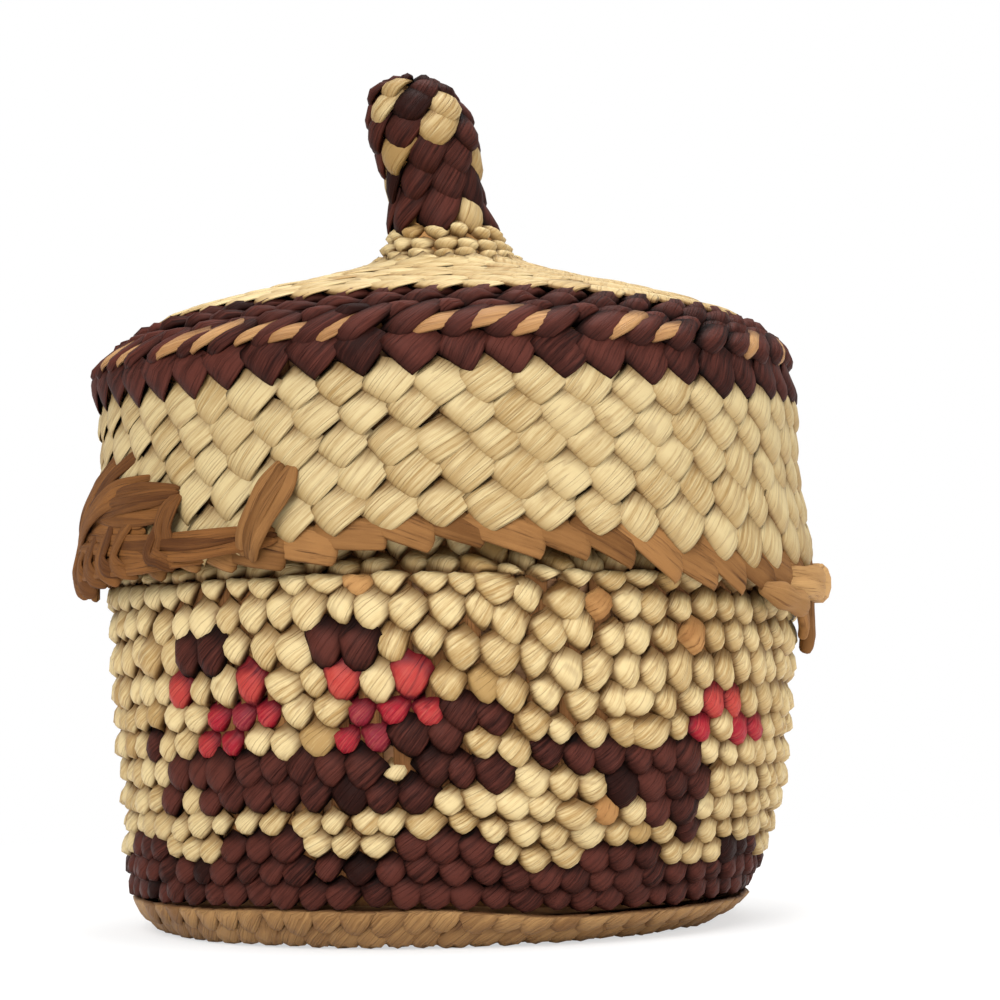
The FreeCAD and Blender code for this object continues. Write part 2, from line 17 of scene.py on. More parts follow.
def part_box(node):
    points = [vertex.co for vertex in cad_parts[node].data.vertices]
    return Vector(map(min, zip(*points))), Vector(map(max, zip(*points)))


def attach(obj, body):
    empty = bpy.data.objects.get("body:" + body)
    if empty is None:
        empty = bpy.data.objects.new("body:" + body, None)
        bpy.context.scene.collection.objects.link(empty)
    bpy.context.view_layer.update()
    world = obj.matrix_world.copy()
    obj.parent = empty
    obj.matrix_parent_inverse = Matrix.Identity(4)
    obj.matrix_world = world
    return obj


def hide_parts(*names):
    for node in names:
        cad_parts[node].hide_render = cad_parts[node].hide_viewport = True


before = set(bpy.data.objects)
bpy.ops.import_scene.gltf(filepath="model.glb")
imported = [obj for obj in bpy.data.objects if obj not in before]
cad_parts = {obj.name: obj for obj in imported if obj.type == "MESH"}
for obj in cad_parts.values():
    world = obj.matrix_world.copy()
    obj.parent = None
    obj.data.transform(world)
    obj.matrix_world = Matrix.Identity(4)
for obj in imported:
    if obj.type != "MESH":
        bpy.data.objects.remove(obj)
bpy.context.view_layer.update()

# %% [markdown]
# ## Sizes
# Lengths are in metres, so a millimetre has a name. The main sizes are read from the model's
# boxes: where the wall is widest, where the neck begins and ends, how high the knob stands.
# Angles count from the front, and grow to the right.

# %% Main sizes, from the model
mm = 0.001
body_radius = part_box("wall_natural_stitches")[1].x
neck_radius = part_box("rim_binding")[1].x
foot_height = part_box("foot_course")[1].z
shoulder_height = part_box("neck_courses")[0].z
rim_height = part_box("rim_binding")[1].z
knob_growth = 0.5 * mm
knob_top_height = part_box("knob_dark_stitches")[1].z + knob_growth
skirt_overhang = 0.4 * mm
hem_flare = 1.0 * mm
hem_drop = 0.5 * mm
skirt_height = 16.1 * mm
top_rise = 6.4 * mm
knob_lean = 2.5 * mm
base_skew = 1.6 * mm
lid_radius = body_radius + skirt_overhang
hem_height = shoulder_height - hem_drop
lid_shoulder_height = hem_height + skirt_height
lid_crown_height = lid_shoulder_height + top_rise
wall_threads = 68
lid_threads = 48
knob_threads = 8
full_turn = 2 * math.pi
random = np.random.default_rng(41)
print("wall radius %.1f mm, knob top %.1f mm" % (body_radius / mm, knob_top_height / mm))

# %% [markdown]
# ## Outlines
# Wall, lid and knob are all turned forms with hand-made unevenness. Each could be a turned mesh
# for other pieces to be shrunk onto. It is simpler to keep the outline itself, because carried
# round the axis it places everything that lies on it: a distance along it and an angle say
# where a stitch is, and the outline's normal says which way is out. Straight runs through a few
# points, rounded by a moving average, are enough for an outline.


# %% Outlines as arrays
class Outline:
    """A turned form's outline from (radius, height) points, bottom to top.

    The points are joined by straight runs. The runs are cut into equal small steps, and every
    step becomes the weighted mean of the steps within the softness on both sides of it. The
    outward normal is the step's direction (dr, dz) turned by a quarter: (dz, -dr)."""

    def __init__(self, points, softness):
        step = 0.1 * mm
        points = np.array(points, float)
        runs = np.hypot(*np.diff(points, axis=0).T)
        corner = np.concatenate([[0.0], np.cumsum(runs)])
        self.along = np.arange(0, corner[-1], step)
        reach = int(softness / step)
        weight = np.hanning(2 * reach + 3)[1:-1]
        weight /= weight.sum()
        smooth = []
        for column in points.T:
            even = np.interp(self.along, corner, column)
            even = np.pad(even, reach, mode="reflect", reflect_type="odd")
            smooth.append(np.convolve(even, weight, mode="valid"))
        self.radius, self.height = smooth
        dr, dz = np.gradient(self.radius), np.gradient(self.height)
        length = np.hypot(dr, dz)
        self.out_r, self.out_z = dz / length, -dr / length

    def at(self, along):
        """Radius, height and outward normal at distances along the outline."""
        return [np.interp(along, self.along, line)
                for line in (self.radius, self.height, self.out_r, self.out_z)]

    def at_height(self, height):
        """The distance along the outline where it reaches a height."""
        return np.interp(height, self.height, self.along)


def smooth_step(low, high, value):
    """Rises from 0 at low to 1 at high, as 3 p^2 - 2 p^3 of the part p of the way between."""
    part = np.clip((value - low) / (high - low), 0, 1)
    return part * part * (3 - 2 * part)


print("a smooth step passes %.2f a quarter of the way" % smooth_step(0.0, 1.0, 0.25))

# %% The wall's and the lid's outlines
wall_shares = ((0.8, 0.0), (0.855, 0.05), (0.895, 0.1), (0.925, 0.18), (0.958, 0.35),
               (0.984, 0.57), (1.0, 0.8), (1.0, 0.985))
wall_points = [(r * body_radius, z * shoulder_height) for r, z in wall_shares]
neck_foot_height = shoulder_height + (body_radius - neck_radius) / 2
wall_points += [(neck_radius, neck_foot_height), (neck_radius, rim_height)]
wall_outline = Outline(wall_points, 0.8 * mm)

skirt_shares = ((1.0, -0.4), (1.0, 0.1), (0.62, 0.26), (0.2, 0.4), (0.05, 0.53), (0.0, 0.77),
                (0.0, 0.9), (-0.1, 0.95), (-0.5, 1.0))
top_shares = ((0.957, 0.17), (0.9, 0.33), (0.8, 0.48), (0.705, 0.6), (0.575, 0.73),
              (0.45, 0.84), (0.315, 0.97))
knob_height = knob_top_height - lid_crown_height
knob_radius = 3.7 * mm
knob_shares = ((1.6, 0.04), (1.38, 0.1), (1.22, 0.17), (1.08, 0.26), (1.0, 0.38), (1.04, 0.5),
               (1.13, 0.62), (1.14, 0.74), (1.04, 0.84), (0.86, 0.93), (0.5, 0.985), (0.06, 1.0))
lid_points = [(lid_radius + r * hem_flare, hem_height + z * skirt_height) for r, z in skirt_shares]
lid_points += [(r * lid_radius, lid_shoulder_height + z * top_rise) for r, z in top_shares]
lid_points += [(r * knob_radius, lid_crown_height + z * knob_height) for r, z in knob_shares]
lid_outline = Outline(lid_points, 0.7 * mm)
print("outlines: wall %.1f mm long, lid %.1f mm long"
      % (wall_outline.along[-1] / mm, lid_outline.along[-1] / mm))

# %% [markdown]
# ## Unevenness
# A weaver's rows are never level. On the right of the front the wall's courses run down by
# nearly a stitch, and the lid's skirt waves three times round, most at its hem. The foot stands
# a little to the left of the wall, and many fingers have bent the knob to the left. Each of
# these is a small function of angle and height, and two more place a point with all of them.


# %% Slump, wave and lean
slump = 2.2 * mm
hem_wave = 1.5 * mm
waves_round = 3
lid_bulge = 0.5 * mm
bulge_width = 1.4 * mm


def course_drop(angle, height):
    """How far a course hangs below its level place.

    A smooth step up on the right of the front and one down at the back, times the square root
    of the height's share, fading out up the neck."""
    degrees = (np.degrees(angle) + 180) % 360 - 180
    right = smooth_step(-5, 24, degrees) - smooth_step(100, 170, degrees)
    left = 0.3 * (smooth_step(20, 55, -degrees) - smooth_step(100, 170, -degrees))
    share = np.clip(height / shoulder_height, 0, 1)
    fading = 1 - smooth_step(1.0, 1.25, height / shoulder_height)
    return slump * (right + left) * np.sqrt(share) * fading


def skirt_wave(angle, height):
    """How far the lid's courses stand above their level place: a cosine three times round,
    whose size falls from the hem's wave to a quarter of it at the shoulder, and to nothing
    over the top. Under the mend on the left, half of it is pulled straight."""
    degrees = (np.degrees(angle) + 180) % 360 - 180
    share = np.clip((height - hem_height) / skirt_height, 0, 1)
    over_top = 1 - smooth_step(lid_shoulder_height, lid_crown_height, height)
    size = (0.27 + 0.73 * (1 - share) ** 2) * over_top
    pulled = 0.5 * (smooth_step(32, 48, -degrees) - smooth_step(66, 84, -degrees))
    return hem_wave * size * (1 - pulled) * np.cos(waves_round * angle)


def knob_shift(height):
    """How far the knob's axis has moved to the left at a height, in a straight line."""
    start = lid_crown_height + 0.15 * knob_height
    return -knob_lean * np.clip((height - start) / (knob_top_height - start), 0, None)


def wall_shift(height):
    """How far the wall's axis has moved to the left near the foot: the power 1.4 of the share
    of the way down to the floor, from 0.42 of the wall's height."""
    return -base_skew * np.clip(1 - height / (0.42 * shoulder_height), 0, 1) ** 1.4


def lid_shift(height):
    """How far the lid leans out to the left at its shoulder: a bell curve of the height."""
    away = (height - lid_shoulder_height + bulge_width) / bulge_width
    return -lid_bulge * np.exp(-away ** 2)


print("slump %.1f mm, hem's wave %.1f mm, knob's lean %.1f mm"
      % (slump / mm, hem_wave / mm, knob_lean / mm))


# %% Places on the wall and on the lid
def on_wall(angle, along, lift):
    """Points on the wall: (r + lift n_r) round the axis, at z + lift n_z, less the slump."""
    flat_height = wall_outline.at(along)[1]
    radius, height, out_r, out_z = wall_outline.at(along - course_drop(angle, flat_height))
    reach = radius + lift * out_r
    return np.stack([reach * np.sin(angle) + wall_shift(height), -reach * np.cos(angle),
                     height + lift * out_z], -1)


def on_lid(angle, along, lift):
    """Points on the lid: as on the wall, with the skirt's wave and the knob's lean added."""
    radius, height, out_r, out_z = lid_outline.at(along)
    reach = radius + lift * out_r
    lifted = height + lift * out_z
    shift = knob_shift(height) + lid_shift(height)
    return np.stack([reach * np.sin(angle) + shift, -reach * np.cos(angle),
                     lifted + skirt_wave(angle, height)], -1)


print("the knob's tip is %.1f mm left of the middle"
      % (-on_lid(0.0, lid_outline.along[-1], 0.0)[0] / mm))

# %% [markdown]
# ## Meshes from arrays
# Blender takes whole arrays: the points, the points of each face, a UV map and any number of
# values per point. One function puts them in, so every piece is made the same way. Stitches and
# strips are all tubes, rings of points one after the other, so one function numbers their faces.


# %% From arrays to a piece
def make_piece(name, body, nodes, shape, material):
    """A mesh object from a shape, riding on a body in place of some of the model's nodes.

    A shape is four things: points (V, 3), faces as a list of (F, n) arrays of point numbers,
    uv (V, 2), and values, which map a name to one number per point."""
    points, faces, uv, values = shape
    mesh = bpy.data.meshes.new(name)
    mesh.vertices.add(len(points))
    mesh.vertices.foreach_set("co", np.asarray(points, np.float32).ravel())
    corners = np.concatenate([group.ravel() for group in faces])
    sizes = np.concatenate([np.full(len(group), group.shape[1]) for group in faces])
    starts = np.concatenate([[0], np.cumsum(sizes)[:-1]])
    mesh.loops.add(len(corners))
    mesh.loops.foreach_set("vertex_index", corners.astype(np.int32))
    mesh.polygons.add(len(sizes))
    mesh.polygons.foreach_set("loop_start", starts.astype(np.int32))
    layer = mesh.uv_layers.new(name="Strand")
    layer.uv.foreach_set("vector", uv[corners].astype(np.float32).ravel())
    for key, value in values.items():
        attribute = mesh.attributes.new(key, "FLOAT", "POINT")
        attribute.data.foreach_set("value", np.asarray(value, np.float32).ravel())
    mesh.update(calc_edges=True)
    mesh.validate()
    mesh.shade_smooth()
    mesh.materials.append(material)
    piece = bpy.data.objects.new(name, mesh)
    bpy.context.scene.collection.objects.link(piece)
    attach(piece, body)
    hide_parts(*nodes)
    print("%-28s %6d faces, %s" % (name, len(sizes), "closed" if is_closed(mesh) else "OPEN"))


def is_closed(mesh):
    """Whether every edge of a mesh has two faces."""
    edges = np.zeros(len(mesh.loops), np.int32)
    mesh.loops.foreach_get("edge_index", edges)
    return bool((np.bincount(edges) == 2).all())


# %% The faces of tubes
def tube_faces(count, stations, corners, turned=False):
    """Faces of closed tubes whose points are numbered tube by tube and ring by ring.

    A quad joins each side of a ring to the same side of the next ring, and one face closes each
    end. Turned faces run round the other way, for rings that are numbered the other way."""
    tube, row, column = np.indices((count, stations - 1, corners))
    ring = (tube * stations + row) * corners
    here = ring + column
    beside = ring + (column + 1) % corners
    quads = [here, here + corners, beside + corners, beside]
    if turned:
        quads = [here, beside, beside + corners, here + corners]
    first = (np.arange(count) * stations * corners)[:, None] + np.arange(corners)
    last = first[:, ::-1] + (stations - 1) * corners
    if turned:
        first, last = first[:, ::-1], last[:, ::-1]
    return [np.stack(quads, -1).reshape(-1, 4), first, last]


print("a tube of 7 rings of 9 points has %d faces"
      % sum(len(group) for group in tube_faces(1, 7, 9)))

# %% [markdown]
# ## Shader maths as Python
# A material is a network of nodes. Written as an expression it reads like a formula, so one
# small class wraps a socket and turns + - * into Math nodes. Everything else comes from one
# method, which sets a node's settings first and its sockets after them.


# %% A value
class Value:
    """One output of a node. Sums and products with numbers or other values add Math nodes."""

    def __init__(self, paint, socket):
        self.paint = paint
        self.socket = socket

    def sibling(self, output):
        """Another output of the same node."""
        return Value(self.paint, self.socket.node.outputs[output])

    def maths(self, operation, first, second):
        return self.paint.node("ShaderNodeMath", {"operation": operation}, {0: first, 1: second})

    def __add__(self, other):
        return self.maths("ADD", self, other)

    def __radd__(self, other):
        return self.maths("ADD", other, self)

    def __sub__(self, other):
        return self.maths("SUBTRACT", self, other)

    def __rsub__(self, other):
        return self.maths("SUBTRACT", other, self)

    def __mul__(self, other):
        return self.maths("MULTIPLY", self, other)

    def __rmul__(self, other):
        return self.maths("MULTIPLY", other, self)

    def __abs__(self):
        return self.maths("ABSOLUTE", self, 0.0)


# %% A material that is painted with values
class Paint:
    """A material or a world under construction."""

    def __init__(self, owner):
        self.owner = owner
        owner.use_nodes = True
        self.tree = owner.node_tree
        self.tree.nodes.clear()

    def node(self, kind, settings=None, inputs=None, output=0):
        """A node of a kind, with its settings, then its sockets by number or name."""
        made = self.tree.nodes.new(kind)
        for key, value in (settings or {}).items():
            if key == "stops":
                while len(made.color_ramp.elements) < len(value):
                    made.color_ramp.elements.new(1.0)
                for element, (place, colour) in zip(made.color_ramp.elements, value):
                    element.position = place
                    element.color = (*colour, 1.0)
            else:
                setattr(made, key, value)
        for key, value in (inputs or {}).items():
            if isinstance(value, Value):
                self.tree.links.new(value.socket, made.inputs[key])
            else:
                made.inputs[key].default_value = value
        return Value(self, made.outputs[output] if len(made.outputs) else None)

    def attribute(self, name):
        """A value that the mesh carries on its points."""
        return self.node("ShaderNodeAttribute", {"attribute_name": name}, output="Fac")

    def strand(self):
        """The place on a strand: across it and along it."""
        uv = self.node("ShaderNodeUVMap", {"uv_map": "Strand"})
        across = self.node("ShaderNodeSeparateXYZ", inputs={0: uv})
        return across, across.sibling(1)

    def noise(self, x, y, z, detail=2.0, roughness=0.5):
        """Cloudy noise from 0 to 1 at a place made of three values."""
        place = self.node("ShaderNodeCombineXYZ", inputs={0: x, 1: y, 2: z})
        return self.node("ShaderNodeTexNoise", {"noise_dimensions": "3D"},
                         {"Vector": place, "Scale": 1.0, "Detail": detail,
                          "Roughness": roughness})

    def cloud(self, size, detail=2.0):
        """Noise in the object's own coordinates, with clouds of about a size."""
        place = self.node("ShaderNodeTexCoord", output="Object")
        return self.node("ShaderNodeTexNoise", {"noise_dimensions": "3D"},
                         {"Vector": place, "Scale": 1 / size, "Detail": detail})

    def ramp(self, value, *stops):
        """Colours laid along a value."""
        return self.node("ShaderNodeValToRGB", {"stops": stops}, {0: value})

    def step(self, value, low, high):
        """0 up to low, 1 from high, smooth between."""
        return self.node("ShaderNodeMapRange", {"interpolation_type": "SMOOTHSTEP"},
                         {"Value": value, "From Min": low, "From Max": high})

    def blend(self, share, first, second):
        """A mix of two colours."""
        def colour(value):
            return value if isinstance(value, Value) else (*value, 1.0)
        return self.node("ShaderNodeMix", {"data_type": "RGBA"},
                         {0: share, 6: colour(first), 7: colour(second)}, output=2)

    def finish(self, colour, roughness, bump, bump_depth, **constants):
        """The surface: varying colour, roughness and bump, and constants on the shader."""
        normal = self.node("ShaderNodeBump", inputs={"Strength": 1.0, "Distance": bump_depth,
                                                     "Height": bump})
        inputs = {"Base Color": colour, "Roughness": roughness, "Normal": normal}
        inputs.update({key.replace("_", " "): value for key, value in constants.items()})
        shader = self.node("ShaderNodeBsdfPrincipled", inputs=inputs)
        self.node("ShaderNodeOutputMaterial", inputs={"Surface": shader})
        return self.owner


def new_paint(name):
    """A new material, to be painted."""
    return Paint(bpy.data.materials.new(name))


# %% [markdown]
# ## Finishes
# Grass splits into flat ribbons with fine lengthwise lines. Each stitch of it has its own tone,
# and painted shade makes it palest where it bulges and brown in the crease where it rolls
# under. Dyed strands are the same grass in purplish brown, coral or crimson. Bark is coarser:
# long fibres, dull, with dark streaks. A picture of grass would repeat and blur close by. Noise
# in a strand's own two directions, stretched along it, draws every line at any distance, and no
# two strands alike.


# %% Grass
def strand_marks(paint, width_lines=13.0):
    """What every strand of grass shows: fine lines and a few splits along it, broad bands, how
    near its start is, and how low down its side a place lies, which sets its painted crease
    shade. Splits are where a slow noise, stretched along the strand, passes through one half."""
    across, along = paint.strand()
    tone = paint.attribute("tone")
    fine = paint.noise(across * width_lines, along * 0.8 + tone * 61.0, tone * 37.0, 3.0, 0.7)
    broad = paint.noise(across * 4.5, along * 0.35 + tone * 17.0, tone * 83.0, 1.0)
    slow = paint.noise(across * 4.5, along * 0.3 + tone * 29.0, tone * 53.0, 0.0)
    split = 1.0 - paint.step(abs(slow - 0.5), 0.0, 0.035)
    start = 1.0 - paint.step(along, 0.0, 0.5)
    # Painted shade: the lower a place lies down the side of its stitch, the darker, darkest in the
    # crease.
    crease_shade = paint.step(paint.attribute("low"), 0.28, 0.8)
    return tone, fine, broad, split, start, crease_shade


def grass(name, pale, deep, shade, shine=0.2):
    """Split grass: colour between deep and pale by the stitch's tone and its lines, then
    towards the shade colour in the splits and, as painted shade, in the crease where the strand
    rolls under. A few odd stitches, those of the lowest tones, are deeper."""
    paint = new_paint(name)
    tone, fine, broad, split, start, crease_shade = strand_marks(paint)
    stain = paint.cloud(6 * mm, 3.0)
    odd = 1.0 - paint.step(tone, 0.02, 0.09)
    light = 0.7 + (fine - 0.5) * 2.6 + (broad - 0.5) * 1.1 + (tone - 0.5) * 0.75 - odd * 0.5
    colour = paint.blend(light + (stain - 0.5) * 0.6, deep, pale)
    # Browner towards the start, where the strand rolls out of the wall: partly painted shade of the
    # roll, partly dirt in it, varying with the stain cloud.
    colour = paint.blend(start * (0.2 + stain * 0.9), colour, deep)
    # Towards the shade colour in the splits, and as painted shade in the crease.
    colour = paint.blend(crease_shade * 0.9 + split * 0.25, colour, shade)
    roughness = 0.5 + (fine - 0.5) * 0.3 + crease_shade * 0.15
    bump = fine * 0.9 + broad * 0.5 - split * 0.5
    return paint.finish(colour, roughness, bump, 0.06 * mm, Specular_IOR_Level=shine)


natural_pale = (0.54, 0.42, 0.215)
natural_deep = (0.31, 0.19, 0.066)
natural_shade = (0.12, 0.056, 0.015)
natural_grass = grass("natural grass", natural_pale, natural_deep, natural_shade)
# Skirt grass is the natural grass painted about a sixth darker: a shaded copy, because the lamps
# light the skirt more than the wall's stitches.
skirt_grass = grass("skirt grass", (0.45, 0.35, 0.178), (0.26, 0.16, 0.055), natural_shade)
# The foot's and the base's grass: the natural grass painted darker and browner, a shaded copy for
# where they sit low in shadow.
shaded_grass = grass("grass in painted shade", (0.31, 0.17, 0.062), (0.17, 0.078, 0.023),
                     (0.07, 0.026, 0.008))
# The dark grass's pale fibres, far paler than its deep ones, are partly the strand's own streaks
# and partly painted highlight along the fibres, in place of a shine.
dark_grass = grass("dark dyed grass", (0.072, 0.019, 0.013), (0.014, 0.0032, 0.002),
                   (0.003, 0.0008, 0.0005), shine=0.06)
tan_grass = grass("tan strand", (0.38, 0.205, 0.08), (0.24, 0.11, 0.036), (0.12, 0.05, 0.016))
print("natural grass in", len(natural_grass.node_tree.nodes), "nodes")


# %% Red grass
def red_dyed_grass():
    """Dyed grass whose dye differs from stitch to stitch: coral, crimson and plum."""
    paint = new_paint("red dyed grass")
    tone, fine, broad, split, start, crease_shade = strand_marks(paint, 12.0)
    dye = paint.attribute("dye")
    colour = paint.ramp(dye, (0.0, (0.34, 0.036, 0.026)), (0.5, (0.25, 0.005, 0.015)),
                        (1.0, (0.13, 0.009, 0.02)))
    # Paler along the fine lines: partly the fibres' own streaks, partly painted highlight.
    colour = paint.blend(fine - 0.45, colour, (0.6, 0.17, 0.11))
    # Darker as painted shade in the crease, and also in the splits and between the broad bands.
    dark = crease_shade * 0.9 + split * 0.5 + (0.5 - broad) * 0.5
    colour = paint.blend(dark, colour, (0.08, 0.004, 0.008))
    bump = fine * 0.6 + broad * 0.5 - split * 0.5
    return paint.finish(colour, 0.48 + (fine - 0.5) * 0.3, bump, 0.05 * mm,
                        Specular_IOR_Level=0.15)


red_grass = red_dyed_grass()
print("red grass in", len(red_grass.node_tree.nodes), "nodes")


# %% Bark
def bark(name, pale, deep, streak, lines=9.0):
    """Bark: long fibres along the strip, dull, with dark streaks between bundles of them."""
    paint = new_paint(name)
    across, along = paint.strand()
    tone = paint.attribute("tone")
    fibre = paint.noise(across * lines, along * 0.9 + tone * 23.0, tone * 41.0, 4.0, 0.68)
    bundle = paint.noise(across * 2.4, along * 0.45 + tone * 11.0, tone * 71.0, 2.0)
    stain = paint.cloud(3 * mm, 3.0)
    light = 0.5 + (bundle - 0.5) * 1.3 + (tone - 0.5) * 0.9 + (fibre - 0.5) * 0.9
    colour = paint.blend(light + (stain - 0.5) * 0.6, deep, pale)
    colour = paint.blend(1.0 - paint.step(fibre, 0.25, 0.46), colour, streak)
    bump = fibre * 0.8 + bundle * 0.7
    return paint.finish(colour, 0.72 + (fibre - 0.5) * 0.3, bump, 0.12 * mm,
                        Specular_IOR_Level=0.1)


cedar_bark = bark("cedar bark", (0.44, 0.24, 0.088), (0.26, 0.12, 0.04), (0.1, 0.036, 0.01))
warp_bark = bark("shaded bark", (0.2, 0.09, 0.03), (0.09, 0.035, 0.011), (0.035, 0.012, 0.004))
pale_bark = bark("pale bark", (0.24, 0.113, 0.037), (0.11, 0.045, 0.012), (0.04, 0.014, 0.004),
                 lines=7.0)
worn_bark = bark("worn bark", (0.18, 0.072, 0.019), (0.07, 0.024, 0.006), (0.024, 0.008, 0.002),
                 lines=8.0)
light_bark = bark("light bark", (0.4, 0.23, 0.09), (0.23, 0.115, 0.04), (0.1, 0.04, 0.012))
print("cedar bark in", len(cedar_bark.node_tree.nodes), "nodes")

# %% [markdown]
# ## One stitch
# A stitch is a short length of flat ribbon. It rolls out of the wall at its lower left, lies
# across a crossing of bark, and dives under the course above at its upper right. Its upper left
# side is tucked under the neighbour on the left, and its lower right side lies over the
# neighbour on the right. Seen from outside it is a slanted rhombus with four tips. One stitch
# could be modelled and copied, but a copy doesn't bend with the wall. So a small closed patch is
# worked out once in shares of a stitch, and laid on the wall at every crossing. A few dozen
# faces are enough, because the lines of the grass are in the material.


# %% How a stitch lies
class Weave:
    """How one kind of stitch lies.

    Its four tips are shares of the pitch and of the rise. It stands out by its depth, and its
    ribbon has a thickness. Along it, the share roll of its length rolls up out of the wall, as
    steep as the power swell makes it and later at its sides if it is blunt. It runs on to reach,
    past 1, where it is tucked under by the share tuck. Across it, the upper left side is hidden
    as far as that share, side and edge say how far the two sides fall, and rounding bulges them
    out. uneven, odd and slip are the weaver's hand: how much stitches differ, which share of
    them is much wider, and how far the grass slips sideways on its way."""

    def __init__(self, left, top, bottom, right, depth, roll=0.25, tuck=0.55, rounding=0.06,
                 thickness=0.14 * mm, edge=0.12, side=1.0, uneven=1.0, slip=0.0, odd=0.0,
                 swell=0.5, hidden=0.42, reach=1.2, blunt=0.0):
        self.tips = np.array([left, top, bottom, right], float)
        self.depth = depth
        self.roll = roll
        self.tuck = tuck
        self.rounding = rounding
        self.thickness = thickness
        self.edge = edge
        self.side = side
        self.uneven = uneven
        self.slip = slip
        self.odd = odd
        self.swell = swell
        self.hidden = hidden
        self.reach = reach
        self.blunt = blunt


wall_weave = Weave((-0.55, -0.02), (-0.05, 0.62), (0.06, -0.6), (0.57, 0.08), 0.95 * mm, roll=0.34,
                   tuck=0.68, rounding=0.1, edge=0.9, side=1.2, slip=0.04, uneven=1.5, odd=0.03,
                   swell=0.7, hidden=0.22, reach=1.27, blunt=0.12)
dense_weave = Weave((-0.6, -0.04), (-0.05, 0.72), (0.05, -0.7), (0.64, 0.1), 1.0 * mm, roll=0.34,
                    tuck=0.65, rounding=0.1, edge=0.85, side=1.1, slip=0.04, uneven=1.3,
                    swell=0.65, hidden=0.34, reach=1.3, blunt=0.12)
head_weave = Weave((-0.5, -0.1), (-0.02, 0.56), (0.02, -0.56), (0.5, 0.1), 1.15 * mm, roll=0.45,
                   tuck=0.75, rounding=0.2, edge=0.9, side=1.2, uneven=0.6, swell=0.6, blunt=0.15)
skirt_weave = Weave((-0.52, -0.17), (0.02, 0.74), (-0.08, -0.78), (0.58, 0.2), 0.68 * mm, roll=0.32,
                    tuck=0.55, rounding=0.06, edge=0.2, side=0.6, uneven=0.9)
print("a stitch of the wall stands out by %.2f mm" % (wall_weave.depth / mm))


# %% The stitch's surface
def stitch_patch(weave):
    """One stitch, in shares of pitch and rise, with its height above the crowns in metres.

    s runs along the strand and t across it, both from 0 to 1 where the stitch shows. The place
    is the bilinear mix of the four tips, with sides that bulge between the tips. The height is
    -depth + depth * roll(s) * tuck(s) * cross(t). The roll is (1 - (1 - p)^2)^swell of the part
    p of its length, the tuck is a smooth fall to the end, and the cross is a crown right of the
    middle. The loop of t goes over the strand and back under it, one thickness lower."""
    rolled = weave.roll * (1 - np.cos(np.radians([0, 32, 62, 90])))
    level = np.linspace(weave.roll, weave.reach, 4)[1:]
    s = np.concatenate([rolled, level])[:, None]
    t_top = np.array([-weave.hidden, -weave.hidden * 0.48, 0.02, 0.3, 0.66, 0.91, 1.0])
    t_loop = np.concatenate([t_top, [0.84, -0.2]])[None, :]
    under = (np.arange(t_loop.size) >= len(t_top))[None, :]
    left, top, bottom, right = weave.tips
    a, b = 2 * s - 1, 2 * t_loop - 1
    bulged_a = a * (1 - weave.rounding * np.minimum(b * b, 1)) / (1 - weave.rounding)
    bulged_b = b * (1 - weave.rounding * np.minimum(a * a, 1)) / (1 - weave.rounding)
    p, q = ((bulged_a + 1) / 2)[..., None], ((bulged_b + 1) / 2)[..., None]
    place = (1 - p) * (1 - q) * left + p * (1 - q) * top + (1 - p) * q * bottom + p * q * right
    inside = (s - weave.blunt * np.clip(b, -1, 1) ** 2) / weave.roll
    roll = (1 - (1 - np.clip(inside, 0, 1)) ** 2) ** weave.swell
    tuck = 1 - weave.tuck * smooth_step(weave.reach - 0.8, weave.reach - 0.02, s)
    hidden_side = np.array([0.8, 0.48, 0.25, 0.06, 0.0, 0.0, 0.0])
    open_side = np.array([0.0, 0.0, 0.0, 0.0, 0.0, 0.33, 1.0])
    fall = hidden_side * weave.side + open_side * weave.edge
    cross = 1 - np.interp(t_loop, t_top, fall)
    height = weave.depth * (roll * tuck * cross - 1) - under * weave.thickness
    return place, height, np.broadcast_to(s, height.shape), np.broadcast_to(t_loop, height.shape)


print("one stitch has %d corners" % stitch_patch(wall_weave)[1].size)


